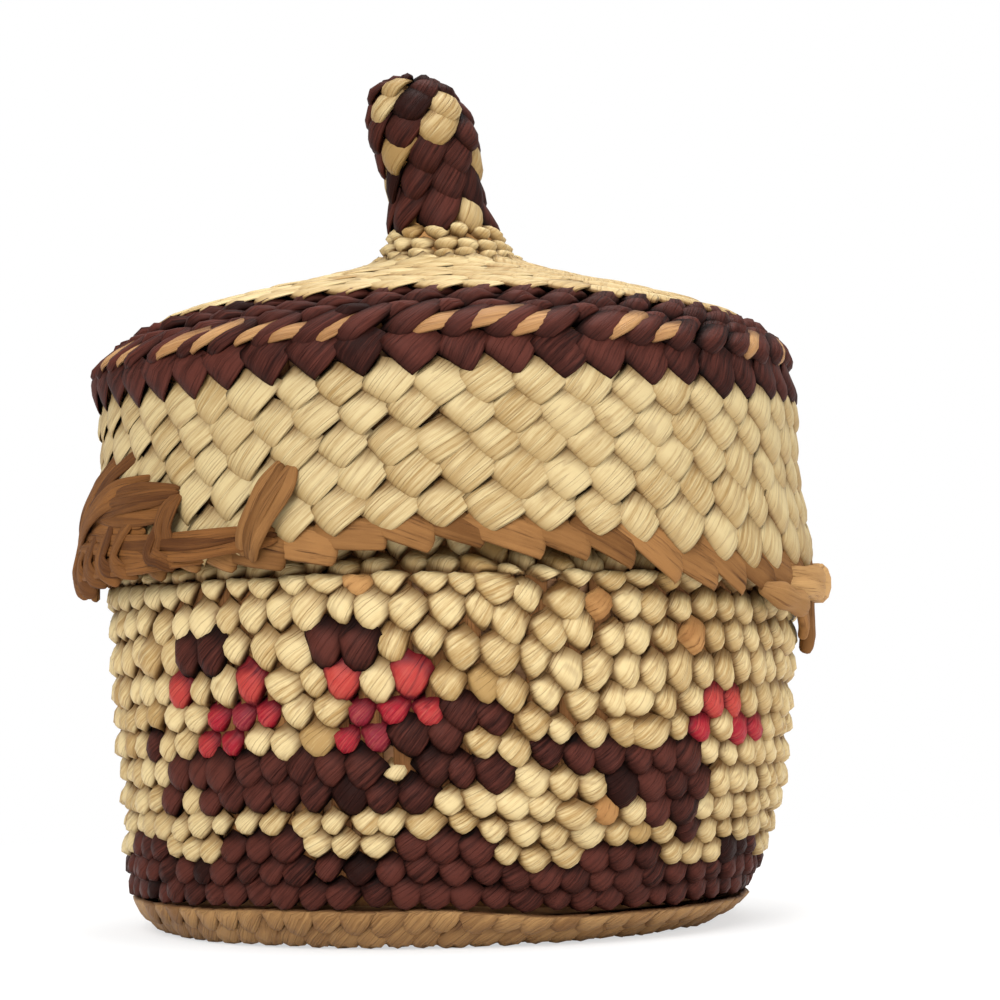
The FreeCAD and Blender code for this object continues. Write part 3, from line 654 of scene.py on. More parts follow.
# %% Many stitches at once
def weave_stitches(weave, surface, outline, angle, along, pitch, rise, slant=1.0, lift=0.0,
                   tones=(0.0, 1.0)):
    """Many stitches at once: every array below has one row per stitch.

    Each stitch is the patch, scaled by its pitch and rise, turned and moved a little at random,
    and laid on the surface at (angle + x / r, along + y) with its height as the lift. A slant
    of -1 mirrors it. Every point carries its stitch's tone, and low, which grows from 0 on the
    crown to 1 at the bottom of the crease."""
    count = len(angle)
    place, height, s, t = stitch_patch(weave)
    jitter = random.normal(0, 1, (count, 6)).clip(-2, 2) * weave.uneven
    size = 1 + jitter[:, 0] * 0.06
    wide = np.where(random.random(count) < weave.odd, 1.4, 1 + jitter[:, 4] * 0.04)
    spin = np.radians(jitter[:, 1] * 5)
    x = place[None, ..., 0] * (np.asarray(pitch) * size * wide * slant)[:, None, None]
    y = place[None, ..., 1] * (np.asarray(rise) * size)[:, None, None]
    cos, sin = np.cos(spin)[:, None, None], np.sin(spin)[:, None, None]
    x, y = x * cos - y * sin, x * sin + y * cos
    x = x + (jitter[:, 2] * 0.05 * pitch)[:, None, None]
    y = y + (jitter[:, 3] * 0.06 * rise)[:, None, None]
    radius = np.maximum(outline.at(along)[0], 0.8 * mm)
    raised = height[None] + (np.asarray(lift) + jitter[:, 5] * 0.05 * mm
                             + (wide > 1.3) * 0.15 * mm)[:, None, None]
    points = surface(angle[:, None, None] + x / radius[:, None, None],
                     along[:, None, None] + y, raised)
    faces = tube_faces(count, *s.shape)
    if slant > 0:
        faces = [group[:, ::-1] for group in faces]
    uv = np.broadcast_to(np.stack([t - weave.slip * s, s], -1), points.shape[:3] + (2,))
    tone = np.broadcast_to(random.uniform(*tones, count)[:, None, None], points.shape[:3])
    low = np.broadcast_to(np.clip(-height / weave.depth, 0, 1.2), points.shape[:3])
    values = {"tone": tone.ravel(), "low": low.ravel()}
    return points.reshape(-1, 3), faces, uv.reshape(-1, 2), values


def gather(shapes):
    """Several shapes joined into one."""
    sizes = np.cumsum([0] + [len(shape[0]) for shape in shapes])
    faces = [group + start for shape, start in zip(shapes, sizes) for group in shape[1]]
    values = {key: np.concatenate([shape[3][key] for shape in shapes]) for key in shapes[0][3]}
    return (np.concatenate([shape[0] for shape in shapes]), faces,
            np.concatenate([shape[2] for shape in shapes]), values)

# %% [markdown]
# ## The wall and its pattern
# The weaver counts. A row has a stitch for every crossing, and a change of strand draws the
# figure: two dark courses of sea with wave crests, a canoe with two paddlers, a whale, and red
# floats. It could be painted on plain stitches, but then an edge would cut through strands.
# Runs of stitches, as (course, first thread, how many) from the front centre, write the pattern
# down the way it is counted. The figures stand once more on the back.

# %% The pattern as runs of stitches
course_seams = np.array((0.1, 0.163, 0.228, 0.29, 0.355, 0.426, 0.503, 0.578, 0.651, 0.736, 0.831,
                         0.92, 0.996)) * shoulder_height
sea_courses = 2
repeat = wall_threads // 2
runs = {
    "sea": [(2, -14, 3), (2, -8, 3), (2, -2, 3), (2, 4, 3), (2, 10, 3)],
    "canoe": [(4, -11, 1), (4, -9, 8), (5, -11, 8), (5, -2, 3), (6, -12, 1), (6, -2, 2),
              (7, -1, 2)],
    "heads": [(9, -10, 2), (9, -5, 2)],
    "paddlers": [(8, -10, 1), (8, -7, 1), (8, -4, 1), (8, -2, 1), (7, -9, 3), (7, -4, 3),
                 (6, -9, 2), (6, -4, 2)],
    "whale": [(6, 2, 6), (5, 4, 4), (4, 6, 2), (3, 7, 1)],
    "floats": [(8, 8, 2), (7, 7, 1), (7, 9, 2)],
    "cedar": [(11, -4, 1), (11, 3, 1), (10, 7, 1), (4, 4, 1)],
}
pattern = np.full((len(course_seams) - 1, wall_threads), "ground", dtype="U10")
pattern[:sea_courses] = "sea"
for figure, figure_runs in runs.items():
    for course, first, count in figure_runs:
        for turned in (0, repeat):
            pattern[course, np.arange(first + turned, first + turned + count)] = figure
print({str(kind): int((pattern == kind).sum()) for kind in np.unique(pattern)})

# %% The wall's stitches
wall_courses = (course_seams[1:] + course_seams[:-1]) / 2
wall_rises = np.diff(course_seams)


def wall_stitches(kind, weave, larger):
    """The stitches of one colour: thread c of course k is at (c + 3/4 + (k mod 2) / 2) pitches.
    A figure may have larger stitches in courses 8 and 9, and then its others are a little
    smaller. The lone natural stitch inside the canoe is smallest."""
    course, column = np.nonzero(pattern == kind)
    turn = column + 0.75 + (course % 2) / 2
    angle = full_turn * turn / wall_threads
    along = wall_outline.at_height(wall_courses[course])
    pitch = full_turn * wall_outline.at(along)[0] / wall_threads
    size = np.where((course > 7) & (course < 10), larger, 1.0 if larger == 1.0 else 0.96)
    lone = (course == 5) & (column % repeat == repeat - 3)
    size = np.where(lone, 0.64, size)
    return course, weave_stitches(weave, on_wall, wall_outline, angle, along, pitch * size,
                                  wall_rises[course] * size, lift=(size - 1) * 1.6 * mm)


colours = {
    "ground": ("woven_ground", "wall_natural_stitches", "natural_grass", natural_grass),
    "sea": ("woven_sea", "sea_stitches", "dark_grass", dark_grass),
    "canoe": ("woven_canoe", "canoe_stitches", "dark_grass", dark_grass),
    "heads": ("woven_paddler_heads", "paddler_head_stitches", "dark_grass", dark_grass),
    "paddlers": ("woven_paddlers", "paddler_stitches", "red_grass", red_grass),
    "whale": ("woven_whale", "whale_stitches", "dark_grass", dark_grass),
    "floats": ("woven_floats", "float_stitches", "red_grass", red_grass),
    "cedar": ("woven_bark_spots", "cedar_stitches", "cedar_bark", cedar_bark),
}
weaves = {"heads": head_weave, "paddlers": head_weave, "sea": dense_weave, "canoe": dense_weave,
          "whale": dense_weave}
enlarged = {"heads": 1.25, "paddlers": 1.16}
for kind, (name, node, slot, material) in colours.items():
    course, shape = wall_stitches(kind, weaves.get(kind, wall_weave), enlarged.get(kind, 1.0))
    if slot == "red_grass":
        dyes = np.where(course == 8, random.uniform(0.0, 0.16, len(course)),
                        random.choice([0.3, 0.5, 0.85], len(course)))
        shape[3]["dye"] = np.repeat(dyes, len(shape[0]) // len(course))
    make_piece(name, "basket", [node], shape, material)

# %% [markdown]
# ## Neck, rim and foot
# The same stitches go on over the shoulder and up the neck, where the lid hides them. A finer
# roll binds the rim. Below the pattern, one thick course makes the foot that the basket stands
# on, and the base is twined inwards from it, flat, to a plaited mat of bark. Plain rings would
# do where hardly anyone looks, but rows of the same stitches cost only a line each.


# %% Rows of plain stitches
def course_at(weave, surface, outline, along, threads, rise, offset=0.0, **options):
    """One course of evenly spaced stitches at a distance along an outline."""
    angle = full_turn * (np.arange(threads) + offset) / threads
    level = np.full(threads, along)
    pitch = full_turn * np.maximum(outline.at(level)[0], 0.5 * mm) / threads
    return weave_stitches(weave, surface, outline, angle, level, pitch, np.full(threads, rise),
                          **options)


binding_height = 0.95 * mm
neck_rows = 4
neck_start = wall_outline.at_height(shoulder_height)
rim_along = wall_outline.at_height(rim_height - binding_height / 2)
neck_rise = (rim_along - binding_height / 2 - neck_start) / neck_rows
neck_parts = [course_at(wall_weave, on_wall, wall_outline, neck_start + neck_rise * (row + 0.5),
                        wall_threads, neck_rise, 0.75 + (row % 2) / 2) for row in range(neck_rows)]
shape = gather(neck_parts)
make_piece("woven_neck", "basket", ["neck_courses"], shape, natural_grass)
rim_weave = Weave((-0.6, -0.3), (-0.1, 0.6), (0.1, -0.6), (0.6, 0.3), 0.5 * mm, roll=0.4,
                  tuck=0.8, rounding=0.1, edge=0.3)
shape = course_at(rim_weave, on_wall, wall_outline, rim_along, wall_threads, binding_height, 0.25)
make_piece("bound_rim", "basket", ["rim_binding"], shape, natural_grass)

# %% Foot and base
foot_radius = 20.0 * mm
foot_width = 2.4 * mm
base_rise = 0.4 * mm
base_window = 6.4 * mm
foot_outline = Outline([(foot_radius - foot_width - 0.6 * mm, 1.0 * mm),
                        (foot_radius - foot_width, 0.25 * mm),
                        (foot_radius - foot_width / 2, 0.0), (foot_radius, 0.0),
                        (21.4 * mm, 1.26 * mm), (22.35 * mm, 2.52 * mm)], 0.5 * mm)


def on_foot(angle, along, lift):
    """Points on the foot, which is never lower than the surface that it stands on."""
    radius, height, out_r, out_z = foot_outline.at(along)
    reach = radius + lift * out_r
    drop = course_drop(angle, height)
    level = np.maximum(height + lift * out_z - drop * smooth_step(0, 2 * mm, height), 0)
    return np.stack([reach * np.sin(angle) + wall_shift(height), -reach * np.cos(angle), level],
                    -1)


foot_rows = 3
foot_length = foot_outline.along[-1]
foot_rise = foot_length / foot_rows
foot_weave = Weave((-0.62, -0.2), (0.06, 0.84), (-0.1, -0.72), (0.64, 0.2), 0.5 * mm, roll=0.35,
                   tuck=0.55, rounding=0.12, edge=0.5, side=0.8, uneven=1.0, swell=0.7,
                   hidden=0.4, reach=1.3, blunt=0.1)
foot_parts = [course_at(foot_weave, on_foot, foot_outline, foot_rise * (row + 0.5), wall_threads,
                        foot_rise, 0.75 + ((row + 1) % 2) / 2) for row in range(foot_rows)]
shape = gather(foot_parts)
make_piece("woven_foot", "basket", ["foot_course"], shape, shaded_grass)

base_outline = Outline([(base_window, base_rise), (foot_radius - foot_width, base_rise)], 0.5 * mm)


def on_base(angle, along, lift):
    """Points on the underside of the base, where outwards is down."""
    radius = base_outline.at(along)[0]
    return np.stack([radius * np.sin(angle) + wall_shift(base_rise), -radius * np.cos(angle),
                     base_rise - lift], -1)


base_weave = Weave((-0.6, -0.25), (0.02, 0.9), (-0.04, -0.9), (0.62, 0.25), 0.4 * mm, roll=0.3,
                   tuck=0.45, rounding=0.12, edge=0.45, side=0.6, uneven=0.6)
base_rows = 6
base_rise_along = base_outline.along[-1] / base_rows
base_parts = []
for row in range(base_rows):
    level = base_rise_along * (row + 0.5)
    threads = int(round(full_turn * base_outline.at(level)[0] / (2.2 * mm)))
    base_parts.append(course_at(base_weave, on_base, base_outline, level, threads,
                                base_rise_along, 0.5 * (row % 2)))
shape = gather(base_parts)
make_piece("woven_base", "basket", ["base_courses"], shape, shaded_grass)

# %% [markdown]
# ## Bark behind the stitches
# Where stitches part, brown bark shows between them. Upright warps lie right behind them, and
# flat wefts inside those. From inside, each weft is a ridge that the strand wraps upright.
# Rings, one for each weft, would let light through between them. So one closed shell stands for
# them all, and its inner side has ridges along the courses, swollen at every wrap.


# %% Strips of bark along an outline
def upright_strips(surface, outline, low, high, depth, threads, width, thickness, stations):
    """Flat strips up an outline: a four-cornered section carried from low to high."""
    along = np.linspace(low, high, stations)[None, :, None]
    angle = full_turn * (np.arange(threads) + 0.5)[:, None, None] / threads
    side = np.array([-0.5, 0.5, 0.5, -0.5])[None, None, :]
    layer = np.array([0.0, 0.0, 1.0, 1.0])[None, None, :]
    radius = np.maximum(outline.at(along)[0], 1 * mm)
    turn = angle + side * width / radius
    lift = -depth - layer * thickness + np.zeros_like(turn)
    points = surface(turn, along + np.zeros_like(turn), lift)
    uv = np.stack([side + 0.5 + np.zeros_like(turn), along / (4 * mm) + np.zeros_like(turn)], -1)
    tone = np.broadcast_to(random.uniform(0, 1, threads)[:, None, None], turn.shape)
    return (points.reshape(-1, 3), tube_faces(*turn.shape, turned=True), uv.reshape(-1, 2),
            {"tone": tone.ravel()})


stitch_depth = 0.95 * mm
warp_thickness = 0.35 * mm
weft_depth = 1.4 * mm
weft_thickness = 0.3 * mm
shape = upright_strips(
    on_wall, wall_outline, wall_outline.at_height(foot_height + 0.1 * mm),
    wall_outline.at_height(rim_height - 0.6 * mm), stitch_depth, wall_threads, 1.5 * mm,
    warp_thickness, 24)
make_piece("bark_warps_of_wall", "basket", ["wall_warps"], shape, warp_bark)


# %% The wefts' shell, wrapped on its inner side
def wrapped_shell(surface, low, high, depth, thickness, threads, rows):
    """A closed shell round the axis. Its outer side is plain. Its inner side has one ridge for
    each course, |sin| shaped, and each ridge swells at every thread, |cos| shaped."""
    per_thread, per_row = 6, 5
    ridge_height = 0.32 * mm
    columns = threads * per_thread
    levels = rows * per_row + 1
    up = np.linspace(low, high, levels)
    angle = full_turn * np.arange(columns)[None, :] / columns
    course = (up - low) / (high - low) * rows
    ridge = np.abs(np.sin(math.pi * course))[:, None] ** 0.7
    wrap = np.abs(np.cos(angle * threads / 2)) ** 0.6
    swell = ridge_height * ridge * (0.45 + 0.55 * wrap)
    inner = -depth - thickness - swell
    outer = np.full_like(inner, -depth)
    lifts = np.concatenate([outer, inner[::-1]])
    levels_round = np.concatenate([up, up[::-1]])[:, None] + np.zeros_like(lifts)
    points = surface(angle + np.zeros_like(lifts), levels_round, lifts)
    row, column = np.indices(lifts.shape)
    following = (row + 1) % len(lifts)
    right = (column + 1) % columns
    quads = np.stack([row * columns + column, row * columns + right,
                      following * columns + right, following * columns + column], -1)
    uv = np.stack([(angle * threads / full_turn + np.zeros_like(lifts)),
                   levels_round / (2 * mm)], -1)
    wrapped = np.concatenate([np.zeros_like(outer), (ridge * wrap)[::-1] + np.zeros_like(inner)])
    return (points.reshape(-1, 3), [quads.reshape(-1, 4)], uv.reshape(-1, 2),
            {"wrapped": wrapped.ravel()})


def wrapped_bark():
    """Bark where nothing wraps it, and grass in upright strands where something does."""
    paint = new_paint("wrapped bark")
    across, along = paint.strand()
    wrapped = paint.attribute("wrapped")
    fibre = paint.noise(across * 0.6, along * 6.0, 3.0, 3.0, 0.6)
    line = paint.noise(across * 9.0, along * 0.5, 9.0, 3.0, 0.6)
    patch = paint.cloud(3 * mm, 2.0)
    wood = paint.blend(fibre, (0.2, 0.085, 0.035), (0.46, 0.24, 0.105))
    straw = paint.blend(line * 0.6 + patch * 0.5, natural_deep, (0.78, 0.64, 0.37))
    colour = paint.blend(paint.step(wrapped, 0.3, 0.62), wood, straw)
    return paint.finish(colour, 0.62 + (line - 0.5) * 0.25, line * 0.6 + fibre * 0.5, 0.06 * mm,
                        Specular_IOR_Level=0.32)


wrapped_material = wrapped_bark()
shape = wrapped_shell(
    on_wall, wall_outline.at_height(foot_height / 2), wall_outline.at_height(rim_height - 0.1 * mm),
    weft_depth, weft_thickness, wall_threads, 16)
make_piece("bark_wefts_of_wall", "basket", ["wall_wefts"], shape, wrapped_material)

# %% [markdown]
# ## The plaited mat
# Four strips of bark each way go over and under each other in the middle of the base. They show
# through the window of the twined rings from below, and on the floor of the basket from above.
# A plait in the material alone would look flat, so every strip is real and rises and falls. The
# light that comes through the square holes at its crossings is left, as in any open plait.

# %% Plaited strips
mat_width = 16.4 * mm
mat_strips = 4
mat_gap = 0.55 * mm
mat_thickness = 0.5 * mm
mat_middle = 1.75 * mm


def plaited_strips(turned):
    """Strips whose height is a rounded square wave: up over one neighbour, down under the
    next. Their section has rounded long sides."""
    spacing = mat_width / mat_strips
    run = np.linspace(-mat_width / 2, mat_width / 2, 49)[None, :, None]
    strip = np.arange(mat_strips)[:, None, None]
    side = np.array([-0.5, -0.47, 0.0, 0.47, 0.5, 0.47, 0.0, -0.47])[None, None, :]
    face = np.array([0.0, 0.5, 0.62, 0.5, 0.0, -0.5, -0.5, -0.5])[None, None, :]
    over = np.cos(math.pi * (run / spacing + (mat_strips - 1) / 2 + strip + turned))
    height = mat_middle + 0.31 * mm * np.tanh(3 * over) + face * (mat_thickness - 0.08 * mm)
    across = (strip - (mat_strips - 1) / 2 + side * (1 - mat_gap / spacing)) * spacing
    across = across + 0.12 * mm * np.sin(run / (2 * mm) + 2 * strip)
    run = run + np.zeros_like(height)
    across = across + np.zeros_like(height)
    points = np.stack([run, across, height] if turned else [across, run, height], -1)
    points[..., 0] += wall_shift(mat_middle)
    faces = tube_faces(*height.shape)
    if turned:
        faces = [group[:, ::-1] for group in faces]
    uv = np.stack([side + 0.5 + np.zeros_like(height), run / (4 * mm)], -1)
    tone = np.broadcast_to(random.uniform(0, 1, mat_strips)[:, None, None], height.shape)
    return points.reshape(-1, 3), faces, uv.reshape(-1, 2), {"tone": tone.ravel()}


for name, node, turned in (("plaited_mat_across", "base_mat_strips_across", 0),
                           ("plaited_mat_along", "base_mat_strips_along", 1)):
    shape = plaited_strips(turned)
    make_piece(name, "basket", [node], shape, cedar_bark)

# %% [markdown]
# ## The lid's skirt
# The lid is coarser: 48 stitches round instead of 68, in flat wide ribbons with crisp edges.
# Five natural courses, one dark one, a two-ply twist on the shoulder, and at the bottom a hem
# wrapped with bark strips that slant the other way. Where the hem was mended it is pulled up.
# The wall's stitch made larger would be too round here, so the skirt has a flatter one of its own.

# %% Skirt, dark course, hem and twist
skirt_seams = hem_height + skirt_height * np.array((0.0, 0.093, 0.261, 0.404, 0.531, 0.655, 0.773,
                                                    0.888, 1.0))
skirt_levels = lid_outline.at_height((skirt_seams[1:] + skirt_seams[:-1]) / 2)
skirt_rises = np.diff(lid_outline.at_height(skirt_seams))
skirt_parts = [course_at(skirt_weave, on_lid, lid_outline, skirt_levels[row], lid_threads,
                         skirt_rises[row] * (0.82 if row == 1 else 1.0), row / 2 + 0.38,
                         tones=(0.15, 1.0)) for row in (1, 2, 3, 4, 5)]
shape = gather(skirt_parts)
make_piece("woven_skirt", "lid", ["lid_natural_stitches"], shape, skirt_grass)

dark_weave = Weave((-0.56, -0.4), (0.12, 0.8), (-0.14, -0.8), (0.58, 0.4), 1.1 * mm, roll=0.45,
                   tuck=0.75, rounding=0.14, edge=0.8, side=1.1, uneven=1.0, swell=0.7)
border_shift = 0.7 * mm
shape = course_at(skirt_weave, on_lid, lid_outline, skirt_levels[6] + border_shift / 2,
                  lid_threads, skirt_rises[6] + border_shift / 2, 3.38, lift=0.1 * mm)
make_piece("woven_dark_course", "lid", ["lid_dark_stitches"], shape, dark_grass)

hem_weave = Weave((-0.62, 0.0), (0.5, 0.56), (-0.5, -0.6), (0.68, -0.04), 0.5 * mm, roll=0.14,
                  tuck=0.6, rounding=0.1, edge=0.35, thickness=0.22 * mm)
hem_strip_height = 2.7 * mm
pulled_height = 1.1 * mm
hem_degrees = 360 * (np.arange(lid_threads) + 0.1) / lid_threads - 360
pulled_up = smooth_step(-82, -72, hem_degrees) * (1 - smooth_step(-34, -26, hem_degrees))
shape = course_at(hem_weave, on_lid, lid_outline,
                  skirt_levels[0] + 0.45 * mm + pulled_height * pulled_up, lid_threads,
                  hem_strip_height, 0.1, slant=-1.0, lift=-0.15 * mm)
make_piece("bark_hem", "lid", ["hem_bark_strips"], shape, pale_bark)

twist_weave = Weave((-0.5, -0.35), (0.1, 0.72), (-0.1, -0.72), (0.5, 0.35), 0.95 * mm, roll=0.36,
                    tuck=0.5, rounding=0.14, edge=0.8, side=1.1, uneven=0.8)
twist_level = skirt_levels[7] + border_shift
shape = course_at(twist_weave, on_lid, lid_outline, twist_level, lid_threads, skirt_rises[7],
                  0.37, lift=0.3 * mm)
make_piece("twisted_border_dark", "lid", ["shoulder_twist"], shape, dark_grass)
ply_weave = Weave((-0.49, -0.1), (0.37, 0.64), (-0.37, -0.64), (0.49, 0.1), 0.6 * mm, roll=0.3,
                  tuck=0.6, rounding=0.12, edge=0.5, uneven=1.4)
tan_plies = np.array((-6, -5, -4, -3, -2, 0, 1, 2, 4, 5, 8, 10, 13, 15, 16, 19, 22, 23, 26, 28,
                      30, 33, 34, 36, 39, 40))
count = len(tan_plies)
shape = weave_stitches(
    ply_weave, on_lid, lid_outline, full_turn * (tan_plies - 0.13) / lid_threads,
    np.full(count, twist_level), np.full(count, 3.4 * mm), np.full(count, 1.6 * mm),
    lift=0.18 * mm)
make_piece("twisted_border_tan", "lid", ["shoulder_tan_plies"], shape, tan_grass)

# %% [markdown]
# ## The lid's top and its knob
# Over the shoulder the courses go on inwards, three dark and then natural ones, with fewer
# stitches in each. In the middle they climb, over a collar of four small courses, into the knob:
# a stem with eight stitches round, most of them dark and a few natural. Knob and top could be
# two forms, but one outline from the hem to the knob's tip lets the courses run on unbroken.

# %% Top courses
top_start = lid_outline.at_height(lid_shoulder_height) + border_shift
collar_start = lid_outline.at_height(lid_crown_height + 0.02 * knob_height)
knob_start = lid_outline.at_height(lid_crown_height + 0.22 * knob_height)
knob_end = lid_outline.along[-1]
top_rows = 11
dark_rows = 3
top_row_rise = (collar_start - top_start) / top_rows


def ring_courses(weave, start, rise, rows, narrowest=2.3 * mm):
    """Courses inwards over the top. The pitch falls evenly from the widest to the narrowest."""
    widest = 3.1 * mm
    parts = []
    for row in range(rows):
        level = start + rise * (row + 0.5)
        radius = lid_outline.at(level)[0]
        pitch = narrowest + (widest - narrowest) * radius / lid_radius
        threads = int(round(full_turn * radius / pitch))
        parts.append(course_at(weave, on_lid, lid_outline, level, threads, rise,
                               random.uniform(0, 1)))
    return gather(parts)


shape = ring_courses(dark_weave, top_start, top_row_rise, dark_rows)
make_piece("woven_top_dark", "lid", ["top_dark_courses"], shape, dark_grass)
top_weave = Weave((-0.6, -0.25), (0.02, 0.9), (-0.04, -0.9), (0.62, 0.25), 0.34 * mm, roll=0.3,
                  tuck=0.45, rounding=0.12, edge=0.45, side=0.6, uneven=0.8)
natural_start = top_start + (dark_rows - 0.55) * top_row_rise
natural_rows = top_rows - dark_rows
natural_row_rise = (collar_start - natural_start) / natural_rows
shape = ring_courses(top_weave, natural_start, natural_row_rise, natural_rows)
make_piece("woven_top_natural", "lid", ["top_natural_courses"], shape,
           natural_grass)

# %% Collar and knob
collar_rows = 4
collar_rise = (knob_start - collar_start) / collar_rows
shape = ring_courses(wall_weave, collar_start, collar_rise, collar_rows, narrowest=1.7 * mm)
make_piece("woven_knob_collar", "lid", ["knob_collar"], shape, natural_grass)
knob_rows = 7
knob_rise = (knob_end - knob_start) / knob_rows
knob_weave = Weave((-0.6, -0.42), (0.14, 0.86), (-0.14, -0.86), (0.62, 0.4), 0.85 * mm, roll=0.36,
                   tuck=0.6, rounding=0.14, edge=0.45)
knob_kinds = np.full((knob_rows, knob_threads), "dark", dtype="U8")
for row, thread in ((0, 1), (0, 3), (1, 5), (2, 7), (2, 2), (3, 0), (4, 7), (4, 1), (4, 4),
                    (5, 7)):
    knob_kinds[row, thread] = "natural"
# The knob's stitches take tones from the lower half only, and its natural ones the darker skirt
# grass: painted shade, which keeps the knob's natural stitches darker than the wall's.
for kind, name, node, slot, material in (
        ("dark", "woven_knob_dark", "knob_dark_stitches", "dark_grass", dark_grass),
        ("natural", "woven_knob_natural", "knob_natural_stitches", "natural_grass",
         skirt_grass)):
    row, thread = np.nonzero(knob_kinds == kind)
    level = knob_start + knob_rise * (row + 0.5)
    angle = full_turn * (thread + (row % 2) / 2) / knob_threads
    pitch = full_turn * lid_outline.at(level)[0] / knob_threads
    shape = weave_stitches(knob_weave, on_lid, lid_outline, angle, level, pitch,
                           np.full(len(row), knob_rise), tones=(0.0, 0.5))
    make_piece(name, "lid", [node], shape, material)

# %% [markdown]
# ## The lid's bark
# The same wefts and warps as in the wall, under the skirt and the top. The knob has a core of
# twisted bark, which closes the gaps between its stitches.

# %% Wefts, warps and core
lid_depth = 1.0 * mm
shape = upright_strips(
    on_lid, lid_outline, lid_outline.at_height(hem_height + 1.6 * mm), collar_start, lid_depth,
    lid_threads, 1.2 * mm, warp_thickness, 30)
make_piece("bark_warps_of_lid", "lid", ["lid_warps"], shape, warp_bark)
shape = wrapped_shell(
    on_lid, lid_outline.at_height(hem_height + 1.8 * mm), collar_start, 1.45 * mm, 0.25 * mm,
    lid_threads, 18)
make_piece("bark_wefts_of_lid", "lid", ["lid_wefts"], shape, wrapped_material)


def core_surface():
    """A closed turned core under the knob's skin, with a lengthwise twist of shallow grooves."""
    columns, rows = 24, 40
    along = np.linspace(collar_start - 1.2 * mm, knob_end - 0.6 * mm, rows)[:, None]
    angle = full_turn * np.arange(columns)[None, :] / columns
    groove = 0.1 * mm * np.cos(4 * angle + along / mm)
    lift = -0.85 * mm + groove
    points = on_lid(angle + np.zeros_like(lift), along + np.zeros_like(lift), lift)
    uv = np.stack([angle * 2 + np.zeros_like(lift), along / (2 * mm) + np.zeros_like(lift)], -1)
    values = {"tone": np.full(lift.size, 0.4)}
    return (points.reshape(-1, 3), tube_faces(1, rows, columns, turned=True), uv.reshape(-1, 2),
            values)


shape = core_surface()
make_piece("bark_core_of_knob", "lid", ["knob_core"], shape, cedar_bark)

# %% [markdown]
# ## The mended hem
# On the left somebody mended the hem with darker bark: a band over the lowest course, a lashing
# down across it, and frayed loops at the edge. On the right are two knots and a loose tail. Each
# is made of strips that follow a few stations on the skirt. Worn bark splits, so a mend is a
# bundle of narrow strips side by side, and a knot is a few short thick ones, like lumps. A
# curve with a bevel would do for a round cord. These have to stay flat on the skirt, so each
# section is set square to the skirt's own outward direction.


# %% A strip through stations on the skirt
def skirt_strip(stations, width, thickness, side=0.0, ends=8):
    """A strip through stations of (degrees, height in mm, lift in mm).

    The stations are joined by a smooth Catmull-Rom line, moved sideways by about the given
    distance. The section is a flat lens of twelve corners: its width lies across the line in
    the surface, its thickness along the normal. Both ends are rounded off with the root of
    1 - |share|^ends, so a small power of ends makes a lump. The width varies by an eighth along
    the strip."""
    samples, corners = 34, 12
    knots = np.array(stations, float)
    padded = np.concatenate([2 * knots[:1] - knots[1:2], knots, 2 * knots[-1:] - knots[-2:-1]])
    place = np.linspace(0, len(knots) - 1 - 1e-9, samples)
    index = place.astype(int)
    part = (place - index)[:, None]
    a, b, c, d = (padded[index + shift] for shift in range(4))
    line = 0.5 * (2 * b + (c - a) * part + (2 * a - 5 * b + 4 * c - d) * part ** 2
                  + (3 * b - a - 3 * c + d) * part ** 3)
    angle = np.radians(line[:, 0])
    along = lid_outline.at_height(line[:, 1] * mm)
    centre = on_lid(angle, along, line[:, 2] * mm)
    out = on_lid(angle, along, line[:, 2] * mm + 0.1 * mm) - centre
    out /= np.linalg.norm(out, axis=1)[:, None]
    forward = np.gradient(centre, axis=0)
    forward /= np.linalg.norm(forward, axis=1)[:, None]
    across = np.cross(forward, out)
    across /= np.linalg.norm(across, axis=1)[:, None]
    out = np.cross(across, forward)
    share = 2 * place / place[-1] - 1
    rounded = 0.25 + 0.75 * np.sqrt(1 - np.abs(share) ** ends)
    phase = random.uniform(0, full_turn)
    centre = centre + across * (side * (1 - 0.35 * share ** 2)
                                * (1 + 0.15 * np.sin(2.1 * place + phase)))[:, None]
    section = np.radians(np.arange(corners) * 360 / corners + 15)
    square = 0.6 if ends > 4 else 1.0
    wide = np.sign(np.cos(section)) * np.abs(np.cos(section)) ** square * width / 2
    thick = np.sign(np.sin(section)) * np.abs(np.sin(section)) ** 0.8 * thickness / 2
    lumps = (rounded * (1 + 0.12 * np.sin(3.7 * place + phase)))[:, None]
    points = (centre[:, None] + across[:, None] * (wide[None] * lumps)[..., None]
              + out[:, None] * (thick[None] * rounded[:, None])[..., None])
    u = np.broadcast_to(wide / width + 0.5, (samples, corners))
    length = np.concatenate([[0], np.cumsum(np.linalg.norm(np.diff(centre, axis=0), axis=1))])
    v = np.broadcast_to(length[:, None] / (4 * mm), (samples, corners))
    values = {"tone": np.full(samples * corners, random.uniform(0, 1))}
    return (points.reshape(-1, 3), tube_faces(1, samples, corners),
            np.stack([u, v], -1).reshape(-1, 2), values)


# %% Bundles of strips
def bundle(stations, width, thickness, strands):
    """A strip that has split into strands side by side, each a little higher or lower."""
    shares = (np.arange(strands) + 0.5) / strands - 0.5
    strips = []
    for share in shares:
        moved = np.array(stations, float)
        moved += random.normal(0, 1, moved.shape) * (0.3, 0.08, 0.06)
        strips.append(skirt_strip(moved, 1.6 * width / strands, thickness, share * width))
    return strips


def strips_piece(name, node, strips, material):
    """One piece out of several strips, in place of one of the model's nodes."""
    make_piece(name, "lid", [node], gather(strips), material)

